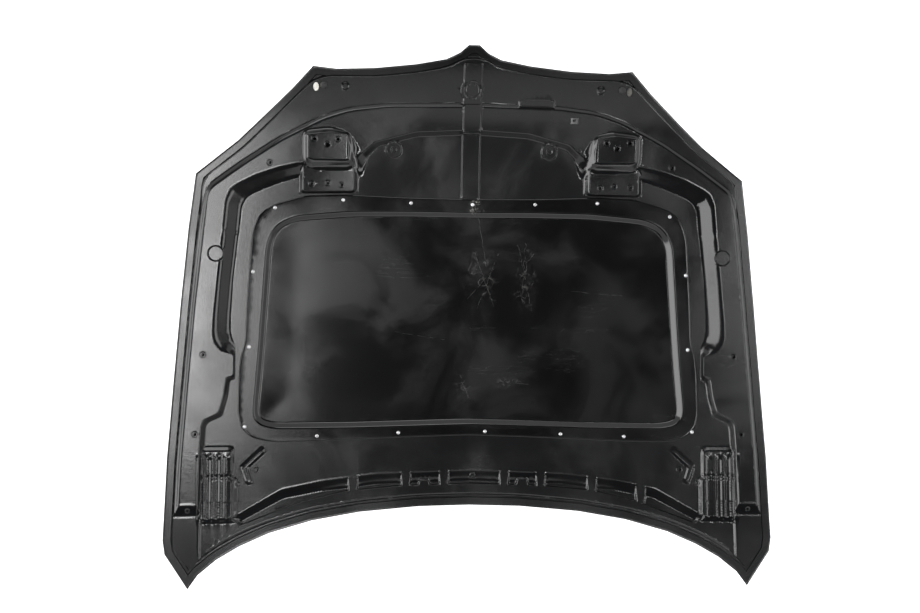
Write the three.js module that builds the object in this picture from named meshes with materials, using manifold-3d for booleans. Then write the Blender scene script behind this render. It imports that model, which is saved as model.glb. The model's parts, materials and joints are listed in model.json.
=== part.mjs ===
// Car bonnet, moulded glass fibre: an outer skin with a thick rim, a relief inner panel bonded
// into it, and a dished centre tray riveted over the panel's cut-out.
// It lies on its back: underside up, nose towards +Y, width along X. Millimetres, +Z up.

import * as THREE from 'three';
import * as BufferGeometryUtils from 'three/addons/utils/BufferGeometryUtils.js';
import Module from 'manifold-3d';

const wasm = await Module();
wasm.setup();

// Overall form
const WIDTH = 1450;
const LENGTH = 1288;
const HALF_WIDTH = WIDTH / 2;
const CROWN_ACROSS = 60;
const CROWN_ACROSS_POWER = 2.2;
const CROWN_ALONG = 40;
const CROWN_ALONG_REACH = 560;
const CROWN_LOW_Y = -20;
const NOSE_RISE = 30;
const NOSE_START_Y = 350;
const NOSE_REACH = 300;
const CELL = 96;

// Skins and levels, each level a height of the upper face over the outer face of the skin
const SKIN = 2.5;
const RIM_LEVEL = 7;
const RIM_WIDTH = 18;
const CLEAR = 0.3;
const PANEL = 2.5;
const LOW_LEVEL = 14;
const FRONT_LEVEL = 22;
const PAD_LEVEL = 30;
const LATCH_UPPER_LEVEL = 44;
const LATCH_LOWER_LEVEL = 28;
const RECESS_LEVEL = 8;
const HINGE_FRONT_LEVEL = 22;
const HINGE_REAR_LEVEL = 24;
const RIB_RISE = 5;
const WALL_FOOT_INSET = 22;
const PAD_INSET = 36;
const REAR_INSET = 32;

// Centre tray
const TRAY = 2.5;
const TRAY_FLOOR_LEVEL = 5.5;
const TRAY_WALL_RUN = 16;
const APERTURE_CLEAR = 5;

// Rivets
const RIVET_HEAD_R = 6;
const RIVET_HEAD_H = 2.2;
const RIVET_SHANK_R = 2.2;
const RIVET_TAIL_R = 3.4;
const RIVET_TAIL_H = 3;

// Bonded steel plates behind the latch and hinge pads
const PLATE = 3;
const LATCH_HOLE_R = 4;
const LATCH_MAIN_HOLE_R = 6;

// Front corner fittings
const BUFFER_R = 9;
const BUFFER_H = 9;
const BUFFER_STEM_R = 4;
const PASTE_HOLE = { rx: 7.5, ry: 11 };

const FLOOR = -500;
const CEILING = 500;
const SEGMENT = 110;
const OVERRUN = 3;
const ROUND_SIDES = 12;

const BLACK = { color: 0x0c0d0f, roughness: 0.32, metalness: 0 };
const MATERIALS = {
  skin: new THREE.MeshStandardMaterial(BLACK),
  panel: new THREE.MeshStandardMaterial({ ...BLACK, color: 0x101113, roughness: 0.36 }),
  tray: new THREE.MeshStandardMaterial({ ...BLACK, color: 0x0a0b0c, roughness: 0.25 }),
  rivet: new THREE.MeshStandardMaterial({ color: 0xd9dadc, roughness: 0.35, metalness: 1 }),
  plate: new THREE.MeshStandardMaterial({ color: 0x8b8e92, roughness: 0.5, metalness: 1 }),
  rubber: new THREE.MeshStandardMaterial({ color: 0x0b0b0b, roughness: 0.85, metalness: 0 }),
  paste: new THREE.MeshStandardMaterial({ color: 0xe9e7df, roughness: 0.7, metalness: 0 }),
};

// Crown of the bonnet, straight between the lines of a grid so that all layers stay parallel
const crownAcross = (x) => CROWN_ACROSS * Math.abs(x / HALF_WIDTH) ** CROWN_ACROSS_POWER;
function crownAlong(y) {
  const nose = Math.max(0, (y - NOSE_START_Y) / NOSE_REACH);
  return CROWN_ALONG * ((y - CROWN_LOW_Y) / CROWN_ALONG_REACH) ** 2 + NOSE_RISE * nose ** 2;
}
function straightened(curve) {
  return (t) => {
    const cell = Math.floor(t / CELL + 0.5) - 0.5;
    const share = t / CELL - cell;
    return curve(cell * CELL) * (1 - share) + curve((cell + 1) * CELL) * share;
  };
}
const across = straightened(crownAcross);
const along = straightened(crownAlong);
const crown = (x, y) => across(x) + along(y);
const slopeX = (x) => {
  const cell = Math.floor(x / CELL + 0.5) - 0.5;
  return (crownAcross((cell + 1) * CELL) - crownAcross(cell * CELL)) / CELL;
};
const slopeY = (y) => {
  const cell = Math.floor(y / CELL + 0.5) - 0.5;
  return (crownAlong((cell + 1) * CELL) - crownAlong(cell * CELL)) / CELL;
};

// Solids
function toSolid(geometry) {
  const bare = geometry.index ? geometry.toNonIndexed() : geometry.clone();
  bare.deleteAttribute('normal');
  bare.deleteAttribute('uv');
  const merged = BufferGeometryUtils.mergeVertices(bare, 1e-4);
  return new wasm.Manifold(new wasm.Mesh({
    numProp: 3,
    vertProperties: new Float32Array(merged.attributes.position.array),
    triVerts: new Uint32Array(merged.index.array),
  }));
}
function toGeometry(solid) {
  const mesh = solid.getMesh();
  const geometry = new THREE.BufferGeometry();
  geometry.setAttribute('position', new THREE.BufferAttribute(mesh.vertProperties, 3));
  geometry.setIndex(new THREE.BufferAttribute(mesh.triVerts, 1));
  return geometry;
}
const union = (solids) => solids.reduce((sum, solid) => sum.add(solid));

// Everything below a level that follows the crown
function below(level, floor = FLOOR) {
  const nx = 2 * Math.ceil(HALF_WIDTH / CELL) + 1;
  const ny = nx;
  const geometry = new THREE.BoxGeometry(nx * CELL, ny * CELL, 2, nx, ny, 1);
  const position = geometry.attributes.position;
  for (let i = 0; i < position.count; i += 1) {
    const top = crown(position.getX(i), position.getY(i)) + level;
    position.setZ(i, position.getZ(i) > 0 ? top : floor);
  }
  return toSolid(geometry);
}

// Everything below a plane that touches the crown's slope at one point, for machined-flat pads
function belowPlane(x0, y0, level, floor = FLOOR) {
  const size = 3 * HALF_WIDTH;
  const geometry = new THREE.BoxGeometry(size, size, 2);
  const position = geometry.attributes.position;
  for (let i = 0; i < position.count; i += 1) {
    position.setZ(i, position.getZ(i) > 0
      ? planeHeight(x0, y0, level, position.getX(i), position.getY(i)) : floor);
  }
  return toSolid(geometry);
}
function planeHeight(x0, y0, level, x, y) {
  return crown(x0, y0) + level + slopeX(x0) * (x - x0) + slopeY(y0) * (y - y0);
}

// Outlines
const point = ([x, y]) => new THREE.Vector2(x, y);
const mirrored = (half) => [...half, ...half.map(([x, y]) => [-x, y]).reverse()]
  .filter(([x, y], i, all) => {
    const [px, py] = all[(i + all.length - 1) % all.length];
    return Math.hypot(x - px, y - py) > 1e-6;
  });
const flipped = (outline) => outline.map(([x, y]) => [-x, y]).reverse();
const isClockwise = (outline) => THREE.ShapeUtils.isClockWise(outline.map(point));
const turned = (outline) => (isClockwise(outline) ? [...outline].reverse() : outline);

// Moves every edge of an outline outwards by a distance
function grown(outline, distance) {
  const ring = turned(outline).map(point);
  return ring.map((here, i) => {
    const before = ring[(i + ring.length - 1) % ring.length];
    const after = ring[(i + 1) % ring.length];
    const in1 = here.clone().sub(before).normalize();
    const out1 = after.clone().sub(here).normalize();
    const n1 = new THREE.Vector2(in1.y, -in1.x);
    const n2 = new THREE.Vector2(out1.y, -out1.x);
    const bisector = n1.clone().add(n2).normalize();
    const reach = distance / Math.max(0.45, bisector.dot(n1));
    return [here.x + bisector.x * reach, here.y + bisector.y * reach];
  });
}
function ellipse(x, y, rx, ry = rx, sides = ROUND_SIDES) {
  return new THREE.EllipseCurve(x, y, rx, ry, 0, 2 * Math.PI)
    .getPoints(sides).slice(0, -1).map((p) => [p.x, p.y]);
}
const rectangle = (x0, y0, x1, y1) => [[x0, y0], [x1, y0], [x1, y1], [x0, y1]];

// An upright column whose wall leans from one outline at a low level to another at a high one
function column(lowOutline, highOutline = lowOutline, low = -50, high = 80) {
  const clockwise = isClockwise(lowOutline);
  const lows = clockwise ? [...lowOutline].reverse() : lowOutline;
  const highs = clockwise ? [...highOutline].reverse() : highOutline;
  const ring = [];
  lows.forEach((a, i) => {
    const b = lows[(i + 1) % lows.length];
    const c = highs[i];
    const d = highs[(i + 1) % highs.length];
    const steps = Math.max(1, Math.ceil(Math.hypot(b[0] - a[0], b[1] - a[1]) / SEGMENT));
    for (let s = 0; s < steps; s += 1) {
      const t = s / steps;
      const foot = [a[0] + (b[0] - a[0]) * t, a[1] + (b[1] - a[1]) * t];
      const head = [c[0] + (d[0] - c[0]) * t, c[1] + (d[1] - c[1]) * t];
      const past = OVERRUN / (high - low);
      ring.push([foot[0] + (foot[0] - head[0]) * past, foot[1] + (foot[1] - head[1]) * past,
        head[0] + (head[0] - foot[0]) * past, head[1] + (head[1] - foot[1]) * past]);
    }
  });
  const count = ring.length;
  const vertices = [];
  ring.forEach(([x, y]) => vertices.push(x, y, FLOOR - 50));
  ring.forEach(([x, y]) => vertices.push(x, y, crown(x, y) + low - OVERRUN));
  ring.forEach(([, , x, y]) => vertices.push(x, y, crown(x, y) + high + OVERRUN));
  ring.forEach(([, , x, y]) => vertices.push(x, y, CEILING));
  const triangles = [];
  for (let band = 0; band < 3; band += 1) {
    for (let i = 0; i < count; i += 1) {
      const a = band * count + i;
      const b = band * count + ((i + 1) % count);
      triangles.push(a, b, b + count, a, b + count, a + count);
    }
  }
  const cap = (offset, start, up) => {
    const flat = ring.map((r) => new THREE.Vector2(r[offset], r[offset + 1]));
    THREE.ShapeUtils.triangulateShape(flat, []).forEach(([a, b, c]) => {
      if (up) triangles.push(start + a, start + b, start + c);
      else triangles.push(start + a, start + c, start + b);
    });
  };
  cap(0, 0, false);
  cap(2, 3 * count, true);
  const geometry = new THREE.BufferGeometry();
  geometry.setAttribute('position', new THREE.Float32BufferAttribute(vertices, 3));
  geometry.setIndex(triangles);
  return toSolid(geometry);
}

// The outlines and places below are drawn for this size, and follow the width and length
const DRAWN_WIDTH = 1450;
const DRAWN_LENGTH = 1288;
const placed = (points) => points.map(([x, y, ...rest]) => [
  (x * WIDTH) / DRAWN_WIDTH, (y * LENGTH) / DRAWN_LENGTH, ...rest]);
const placedAt = (at) => placed([at])[0];

// Outline of the whole bonnet, right half from the nose to the middle of the rear edge
const OUTLINE = turned(mirrored(placed([
  [0, 644], [13, 644], [34, 626], [66, 611], [137, 598], [236, 587], [327, 583], [382, 588],
  [430, 536], [484, 483], [557, 412], [606, 372], [656, 331], [673, 200], [690, 24], [705, -160],
  [718, -340], [725, -530], [720, -562], [666, -644], [643, -612], [601, -578], [548, -548],
  [480, -519], [379, -491], [265, -472], [122, -460], [0, -457],
])));

// Edges of the relief, right half, as [x, y]
const INTERIOR = turned(mirrored(placed([
  [0, 612], [30, 598], [66, 580], [137, 566], [236, 555], [330, 551], [370, 555], [408, 514],
  [462, 460], [534, 389], [583, 350], [625, 315], [641, 198], [658, 24], [673, -160],
  [686, -338], [693, -528], [690, -549], [664, -588], [621, -553], [564, -520], [492, -490],
  [387, -460], [270, -441], [124, -428], [0, -425],
])));
const RIDGE = placed([[0, 497], [197, 493], [290, 482], [353, 462], [453, 411], [545, 350],
  [625, 290]]);
const TAB = placed([[112, 470], [194, 470], [194, 516], [112, 516]]);
const BAND_TOP = placed([[412, 363], [463, 351], [515, 333], [557, 311], [575, 298], [586, 271],
  [591, 218], [597, 159], [605, 80], [613, -4], [615, -46], [611, -67], [596, -86], [566, -96]]);
const BAND_FOOT = placed([[412, 326], [463, 310], [515, 288], [533, 278], [540, 268], [548, 252],
  [553, 199], [560, 140], [567, 81], [572, -4], [572, -38], [568, -56], [565, -66], [561, -76]]);
const NOTCH_TOP = placed([[566, -144], [583, -148], [589, -194], [600, -232], [634, -248], [640, -262],
  [643, -310], [647, -485], [650, -700]]);
const NOTCH_FOOT = placed([[561, -157], [572, -158], [577, -198], [589, -243], [621, -257], [627, -266],
  [630, -311], [634, -485], [637, -700]]);
const LEDGE_TOP = placed([[0, 447], [137, 440], [237, 413], [262, 390], [300, 371]]);
const LEDGE_FOOT = placed([[0, 434], [132, 427], [226, 402], [248, 380], [262, 330]]);

// Centre tray outlines, right half
const FLANGE_INNER = turned(mirrored(placed([
  [0, 251], [150, 252], [290, 250], [420, 238], [455, 224], [477, 204], [492, 168], [502, 20],
  [510, -100], [521, -232], [514, -254], [496, -267], [465, -273], [283, -272], [0, -264],
])));
const FLANGE_OUTER = turned(mirrored(placed([
  [0, 281], [155, 283], [309, 288], [400, 284], [473, 262], [502, 243], [517, 218], [526, 185],
  [536, 30], [539, -65], [549, -100], [553, -140], [555, -235], [550, -266], [524, -293],
  [480, -304], [370, -303], [228, -297], [0, -289],
])));

const RIVETS = placed([[-470, 254], [-308, 275], [-145, 270], [4, 268], [156, 270], [307, 274],
  [483, 243], [524, 101], [530, -80], [540, -279], [376, -291], [222, -286], [38, -280],
  [-172, -283], [-367, -290], [-538, -267], [-529, -78], [-521, 101]]);

const LATCH_UPPER_HOLES = placed([[378, 416, LATCH_HOLE_R], [347, 404, LATCH_MAIN_HOLE_R],
  [322, 416, LATCH_HOLE_R]]);
const LATCH_LOWER_HOLES = placed([[384, 312, LATCH_HOLE_R], [345, 314, LATCH_HOLE_R],
  [312, 310, LATCH_HOLE_R]]);
const PANEL_HOLES = placed([[482, 359], [636, -96], [653, -283], [509, -370]]);
const LATCH_UPPER_CENTRE = placedAt([347, 398]);
const LATCH_LOWER_CENTRE = placedAt([345, 318]);
const HINGE_PAD_CENTRE = placedAt([604, -287]);
const HINGE_PLATE_SIZE = [34, 40];
const BUFFER_AT = placedAt([357, 543]);
const PASTE_FROM_BUFFER = [18, -4];
const PASTE_AT = [BUFFER_AT[0] + PASTE_FROM_BUFFER[0], BUFFER_AT[1] + PASTE_FROM_BUFFER[1]];
const CLIP_AT = placedAt([244, 469]);
const BADGE_AT = placedAt([-3, 538]);
const BOSS_AT = placedAt([188, 397]);
const DISC_AT = placedAt([608, 143]);

// Raised pads: their top outlines and the feet of their walls
const LATCH_UPPER_TOP = placed([[300, 428], [300, 370], [392, 371], [392, 425], [345, 431]]);
const LATCH_UPPER_FOOT = placed([[262, 415], [262, 337], [412, 326], [413, 436], [330, 441]]);
const LATCH_LOWER_TOP = placed([[287, 358], [286, 297], [403, 295], [403, 352]]);
const LATCH_LOWER_FOOT = placed([[271, 362], [272, 292], [415, 288], [414, 360]]);
const LATCH_UPPER_PLATE = placed([[306, 378], [388, 378], [388, 424], [306, 424]]);
const LATCH_LOWER_PLATE = placed([[293, 302], [398, 302], [398, 342], [293, 342]]);
const DIAGONAL_TOP = placed([[499, -322], [541, -362], [526, -400], [468, -420], [420, -392],
  [420, -330]]);
const DIAGONAL_FOOT = placed([[496, -309], [551, -362], [536, -408], [470, -432], [330, -390],
  [330, -318]]);
const HINGE_FRONT_TOP = placed([[567, -386], [634, -386], [634, -322], [567, -322]]);
const HINGE_REAR_TOP = placed([[563, -484], [640, -484], [640, -386], [563, -386]]);
const HINGE_WALL = 8;
const HINGE_RIB_X = [590, 612, 632].map((x) => placedAt([x, 0])[0]);
const HINGE_RIB_Y = [-478, -390].map((y) => placedAt([0, y])[1]);
const HINGE_RIB_HALF = 5;
const HINGE_RIB_WALL = 3;
const CENTRE_RIB_X = [-22, 18].map((x) => placedAt([x, 0])[0]);
const CENTRE_RIB_WALL = 3;
const RECESS_POSTS = [-400, -280, -153, -61, 85, 174, 298, 416].map((x) => placedAt([x, 0])[0]);

const both = (build) => union([build((o) => o), build(flipped)]);
const round = (x, y, r) => column(ellipse(x, y, r));

// The upper side of the panel, or its lower side when it is dropped by the wall thickness
function panelForm(drop) {
  const floor = FLOOR - drop;
  const inside = (outline) => grown(outline, -drop);
  const wall = (outline) => grown(outline, drop);
  const level = (h) => below(h - drop, floor);
  const raised = (foot, top, low, high, under) => column(inside(foot), inside(top), low, high)
    .intersect(under);
  const bond = SKIN + CLEAR + PANEL;

  const interior = raised(grown(INTERIOR, REAR_INSET - WALL_FOOT_INSET), INTERIOR,
    bond - drop, LOW_LEVEL - drop, level(LOW_LEVEL));
  const frontTop = turned(mirrored(placed([[0, 610], [30, 606], [60, 588], [137, 574],
    [236, 563], [350, 562], [386, 548], [466, 468], [541, 394], [596, 350], [638, 318],
    [640, 200], [0, 200]])));
  const front = raised(grown(frontTop, 9), frontTop, bond - drop, FRONT_LEVEL - drop,
    level(FRONT_LEVEL));

  const side = grown(OUTLINE, -PAD_INSET);
  const [sideX, frontY] = placedAt([600, 290]);
  const rearY = placedAt([0, -500])[1];
  const padEdge = side.filter(([x, y]) => x > sideX && y < frontY && y > rearY)
    .sort((a, b) => b[1] - a[1]);
  const padTop = turned(mirrored([...RIDGE, ...padEdge, ...placed([[684, -488], [560, -488],
    [540, 0], [0, 0]])]));
  const padFoot = grown(padTop, PAD_INSET - WALL_FOOT_INSET);
  const pad = raised(padFoot, padTop, bond - drop, PAD_LEVEL - drop, level(PAD_LEVEL));

  const pocketFoot = turned(mirrored([...LEDGE_FOOT, ...BAND_FOOT, ...NOTCH_FOOT, placedAt([0, -700])]));
  const pocketTop = turned(mirrored([...LEDGE_TOP, ...BAND_TOP, ...NOTCH_TOP, placedAt([0, -700])]));
  const pocket = column(wall(pocketFoot), wall(pocketTop), LOW_LEVEL - drop, PAD_LEVEL - drop)
    .subtract(level(LOW_LEVEL));

  const tab = raised(grown(TAB, 5), TAB, FRONT_LEVEL - drop, PAD_LEVEL - drop, level(PAD_LEVEL));
  let form = union([level(bond), interior, front, pad, tab]).subtract(pocket);

  const latches = both((side2) => union([
    raised(side2(LATCH_UPPER_FOOT), side2(LATCH_UPPER_TOP), LOW_LEVEL - drop, LATCH_UPPER_LEVEL - drop,
      belowPlane(side2([LATCH_UPPER_CENTRE])[0][0], LATCH_UPPER_CENTRE[1],
        LATCH_UPPER_LEVEL - drop, floor)),
    raised(side2(LATCH_LOWER_FOOT), side2(LATCH_LOWER_TOP), LOW_LEVEL - drop, LATCH_LOWER_LEVEL - drop,
      belowPlane(side2([LATCH_LOWER_CENTRE])[0][0], LATCH_LOWER_CENTRE[1],
        LATCH_LOWER_LEVEL - drop, floor)),
  ]));

  const blocks = both((side2) => union([
    raised(side2(grown(HINGE_FRONT_TOP, HINGE_WALL)), side2(HINGE_FRONT_TOP),
      LOW_LEVEL - drop, HINGE_FRONT_LEVEL - drop, level(HINGE_FRONT_LEVEL)),
    raised(side2(grown(HINGE_REAR_TOP, HINGE_WALL)), side2(HINGE_REAR_TOP),
      LOW_LEVEL - drop, HINGE_REAR_LEVEL - drop, level(HINGE_REAR_LEVEL)),
    ...HINGE_RIB_X.map((x) => {
      const top = rectangle(x - HINGE_RIB_HALF, HINGE_RIB_Y[0], x + HINGE_RIB_HALF,
        HINGE_RIB_Y[1]);
      return raised(side2(grown(top, HINGE_RIB_WALL)), side2(top), HINGE_FRONT_LEVEL - drop,
        PAD_LEVEL - drop, level(PAD_LEVEL));
    }),
    raised(side2(DIAGONAL_FOOT), side2(DIAGONAL_TOP), LOW_LEVEL - drop,
      HINGE_FRONT_LEVEL - drop, level(HINGE_FRONT_LEVEL)),
  ]));

  const ribs = union([[600, 488, FRONT_LEVEL], [504, 440, PAD_LEVEL], [450, 284, LOW_LEVEL]]
    .map(([front, rear, h]) => {
      const [x0, x1] = CENTRE_RIB_X;
      const [y0, y1] = [rear, front].map((y) => placedAt([0, y])[1]);
      return raised(rectangle(x0 - CENTRE_RIB_WALL, y0, x1 + CENTRE_RIB_WALL, y1),
        rectangle(x0, y0, x1, y1), h - drop, h + RIB_RISE - drop, level(h + RIB_RISE));
    }));
  const badge = raised(ellipse(...BADGE_AT, 29), ellipse(...BADGE_AT, 26), FRONT_LEVEL - drop,
    FRONT_LEVEL + RIB_RISE - drop, level(FRONT_LEVEL + RIB_RISE));
  const bosses = both((side2) => raised(side2(ellipse(...BOSS_AT, 21)), side2(ellipse(...BOSS_AT, 17)),
    LOW_LEVEL - drop, LOW_LEVEL + 4 - drop, level(LOW_LEVEL + 4)));
  form = union([form, latches, blocks, ribs, badge, bosses]);

  const discs = both((side2) => column(wall(side2(ellipse(...DISC_AT, 16))),
    wall(side2(ellipse(...DISC_AT, 20)))).subtract(level(PAD_LEVEL - 6)));
  const upper = (x) => -372 - 26 * (Math.abs(x - 8) / 350) ** 2.2;
  const lower = (x) => -405 - 27 * (Math.abs(x - 8) / 350) ** 2.6;
  const recesses = union(RECESS_POSTS.slice(1).map((x, i) => {
    const a = RECESS_POSTS[i];
    const [y0, y1, y2, y3] = [upper(a), upper(x), lower(x), lower(a)]
      .map((y) => placedAt([0, y])[1]);
    const top = [[a + 22, y0], [x - 22, y1], [x - 11, y2], [a + 11, y3]];
    return column(wall(grown(top, -2)), wall(grown(top, 1)), RECESS_LEVEL - drop,
      LOW_LEVEL - drop).subtract(level(RECESS_LEVEL));
  }));
  return form.subtract(discs).subtract(recesses);
}

// A frame square to the crown at a point of some level
function squareTo([x, y], level) {
  const normal = new THREE.Vector3(-slopeX(x), -slopeY(y), 1).normalize();
  return new THREE.Matrix4()
    .makeRotationFromQuaternion(new THREE.Quaternion()
      .setFromUnitVectors(new THREE.Vector3(0, 0, 1), normal))
    .setPosition(x, y, crown(x, y) + level);
}
const rivetFrame = (at) => squareTo(at, LOW_LEVEL + CLEAR + TRAY);
const bufferFrame = (side) => squareTo([side * BUFFER_AT[0], BUFFER_AT[1]], FRONT_LEVEL);
function turnedPart(profile, sides = ROUND_SIDES) {
  const geometry = new THREE.LatheGeometry(profile.map(point), sides);
  return geometry.rotateX(Math.PI / 2);
}
function bore(radius, frame, sides = 8) {
  const geometry = new THREE.CylinderGeometry(radius, radius, 24, sides).rotateX(Math.PI / 2);
  return toSolid(geometry.applyMatrix4(frame));
}
const rivetHole = (at) => bore(RIVET_SHANK_R + CLEAR + 0.1, rivetFrame(at));
function rivetSolid(at) {
  const grip = TRAY + CLEAR + PANEL;
  const tailTop = -(grip + CLEAR);
  const profile = [[0, tailTop - RIVET_TAIL_H], [RIVET_TAIL_R * 0.7, tailTop - RIVET_TAIL_H],
    [RIVET_TAIL_R, tailTop], [RIVET_SHANK_R, tailTop], [RIVET_SHANK_R, CLEAR],
    [RIVET_HEAD_R, CLEAR], [RIVET_HEAD_R * 0.8, CLEAR + RIVET_HEAD_H * 0.7],
    [0, CLEAR + RIVET_HEAD_H]];
  return toSolid(turnedPart(profile, 8).applyMatrix4(rivetFrame(at)));
}

function outerSkin() {
  const hollow = column(grown(OUTLINE, -RIM_WIDTH - 1), grown(OUTLINE, -RIM_WIDTH), SKIN,
    RIM_LEVEL).subtract(below(SKIN));
  return below(RIM_LEVEL).intersect(column(OUTLINE)).subtract(below(0, FLOOR - 20))
    .subtract(hollow);
}

function innerPanel() {
  const edge = grown(OUTLINE, -RIM_WIDTH - 1 - CLEAR);
  const aperture = column(grown(FLANGE_INNER, APERTURE_CLEAR));
  const holes = union([
    ...RIVETS.map(rivetHole),
    ...[...LATCH_UPPER_HOLES, ...LATCH_LOWER_HOLES].flatMap(([x, y, r]) => [
      round(x, y, r), round(-x, y, r)]),
    ...PANEL_HOLES.flatMap(([x, y]) => [round(x, y, 4), round(-x, y, 4)]),
    ...[-1, 1].map((s) => bore(BUFFER_STEM_R + CLEAR + 0.1, bufferFrame(s), ROUND_SIDES)),
    ...[-1, 1].map((s) => column(ellipse(s * PASTE_AT[0], PASTE_AT[1], PASTE_HOLE.rx,
      PASTE_HOLE.ry))),
  ]);
  return panelForm(0).intersect(column(edge)).subtract(panelForm(PANEL)).subtract(aperture)
    .subtract(holes);
}

function centreTray() {
  const floor = grown(FLANGE_INNER, -TRAY_WALL_RUN);
  const top = LOW_LEVEL + CLEAR + TRAY;
  const dish = column(floor, FLANGE_INNER, TRAY_FLOOR_LEVEL, top);
  const under = column(grown(floor, TRAY), grown(FLANGE_INNER, TRAY), TRAY_FLOOR_LEVEL - TRAY,
    top - TRAY);
  const upper = below(top).intersect(column(FLANGE_OUTER))
    .subtract(dish.subtract(below(TRAY_FLOOR_LEVEL)));
  const lower = below(top - TRAY, FLOOR - 20)
    .subtract(under.subtract(below(TRAY_FLOOR_LEVEL - TRAY, FLOOR - 40)));
  return upper.subtract(lower).subtract(union(RIVETS.map(rivetHole)));
}

// Room under the panel that a piece behind it may fill
const behindPanel = panelForm(PANEL + CLEAR);

// A flat plate bonded close behind a pad, its holes in line with the pad's
function latchPlate(side, centre, level, outline, holes) {
  const x0 = side * centre[0];
  const top = belowPlane(x0, centre[1], level - PANEL - CLEAR);
  const bottom = belowPlane(x0, centre[1], level - PANEL - CLEAR - PLATE, FLOOR - 20);
  const shape = side > 0 ? outline : flipped(outline);
  return top.subtract(bottom).intersect(column(shape)).intersect(behindPanel)
    .subtract(union(holes.map(([x, y, r]) => round(side * x, y, r))));
}
function hingePlate(side) {
  const [x, y] = HINGE_PAD_CENTRE;
  const [w, l] = HINGE_PLATE_SIZE;
  const top = below(LOW_LEVEL - PANEL - CLEAR);
  const bottom = below(LOW_LEVEL - PANEL - CLEAR - PLATE, FLOOR - 20);
  const outline = rectangle(x - w / 2, y - l / 2, x + w / 2, y + l / 2);
  return top.subtract(bottom).intersect(column(side > 0 ? outline : flipped(outline)));
}

// A domed rubber buffer pushed through the panel, its head seated close above the face and its
// barb close below
function bumpBuffer(side) {
  const part = (profile) => toSolid(turnedPart(profile).applyMatrix4(bufferFrame(side)));
  const head = part([[0, -2], [BUFFER_R, -2], [BUFFER_R, BUFFER_H * 0.5],
    [BUFFER_R * 0.7, BUFFER_H * 0.9], [0, BUFFER_H]]).subtract(below(FRONT_LEVEL + CLEAR));
  const stem = part([[0, -PANEL - 3], [BUFFER_STEM_R, -PANEL - 3], [BUFFER_STEM_R, 3], [0, 3]]);
  const barb = part([[0, -PANEL - 6], [BUFFER_STEM_R, -PANEL - 6], [BUFFER_STEM_R + 1.5, 0],
    [0, 0]]).intersect(below(FRONT_LEVEL - PANEL - CLEAR));
  return union([head, stem, barb]);
}

// A dab of bonding paste between the skin and the panel, seen through the corner hole
function pasteDab(side) {
  const outline = ellipse(side * PASTE_AT[0], PASTE_AT[1], PASTE_HOLE.rx - 1, PASTE_HOLE.ry - 1);
  const dab = column(grown(outline, 3), outline, SKIN, FRONT_LEVEL - 6);
  const base = dab.intersect(behindPanel);
  const core = column(outline).intersect(below(FRONT_LEVEL - 1));
  return base.add(core).subtract(below(SKIN + CLEAR, FLOOR - 20));
}

// A small folded spring clip pressed on the front beam
function panelClip() {
  const [x, y] = CLIP_AT;
  const plate = column(rectangle(x - 9, y - 7, x + 9, y + 7));
  const top = below(PAD_LEVEL + CLEAR + 1.5).intersect(plate);
  const lips = below(PAD_LEVEL + CLEAR + 4).intersect(union([
    column(rectangle(x - 9, y - 7, x + 9, y - 5)), column(rectangle(x + 7, y - 7, x + 9, y + 7))]));
  return union([top, lips]).subtract(below(PAD_LEVEL + CLEAR, FLOOR - 20))
    .subtract(column(rectangle(x - 4, y - 2, x + 3, y + 4)));
}

const bonnet = new THREE.Group();
bonnet.name = 'car_bonnet';
bonnet.position.z = -crown(CELL / 2, -CELL / 2);
function addPart(name, solid, material) {
  const mesh = new THREE.Mesh(toGeometry(solid), material);
  mesh.name = name;
  bonnet.add(mesh);
}

addPart('outer_skin', outerSkin(), MATERIALS.skin);
addPart('inner_panel', innerPanel(), MATERIALS.panel);
addPart('centre_tray', centreTray(), MATERIALS.tray);
RIVETS.forEach((at, i) => {
  addPart(`tray_rivet_${String(i + 1).padStart(2, '0')}`, rivetSolid(at), MATERIALS.rivet);
});
[['right', 1], ['left', -1]].forEach(([name, side]) => {
  addPart(`latch_plate_upper_${name}`, latchPlate(side, LATCH_UPPER_CENTRE, LATCH_UPPER_LEVEL,
    LATCH_UPPER_PLATE, LATCH_UPPER_HOLES), MATERIALS.plate);
  addPart(`latch_plate_lower_${name}`, latchPlate(side, LATCH_LOWER_CENTRE, LATCH_LOWER_LEVEL,
    LATCH_LOWER_PLATE, LATCH_LOWER_HOLES), MATERIALS.plate);
  addPart(`hinge_plate_${name}`, hingePlate(side), MATERIALS.plate);
  addPart(`bump_buffer_${name}`, bumpBuffer(side), MATERIALS.rubber);
  addPart(`bonding_paste_${name}`, pasteDab(side), MATERIALS.paste);
});
addPart('panel_clip', panelClip(), MATERIALS.rivet);

export default bonnet;
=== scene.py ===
"""Dresses a moulded car bonnet that lies on its back, its relief inner panel facing up.

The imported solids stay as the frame. Finely meshed sheets replace the large mouldings and follow
the same crown, outlines and levels; rivets and buffers are rebuilt with rounder forms. Shapes are
written in millimetres, and the scene is in metres.
"""

from __future__ import annotations

import json
import logging
import math
from dataclasses import dataclass
from enum import Enum
from typing import Callable, List, Optional, Sequence, Tuple

import bmesh
import bpy
import numpy as np
from mathutils import Matrix, Vector
from mathutils.geometry import delaunay_2d_cdt

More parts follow.
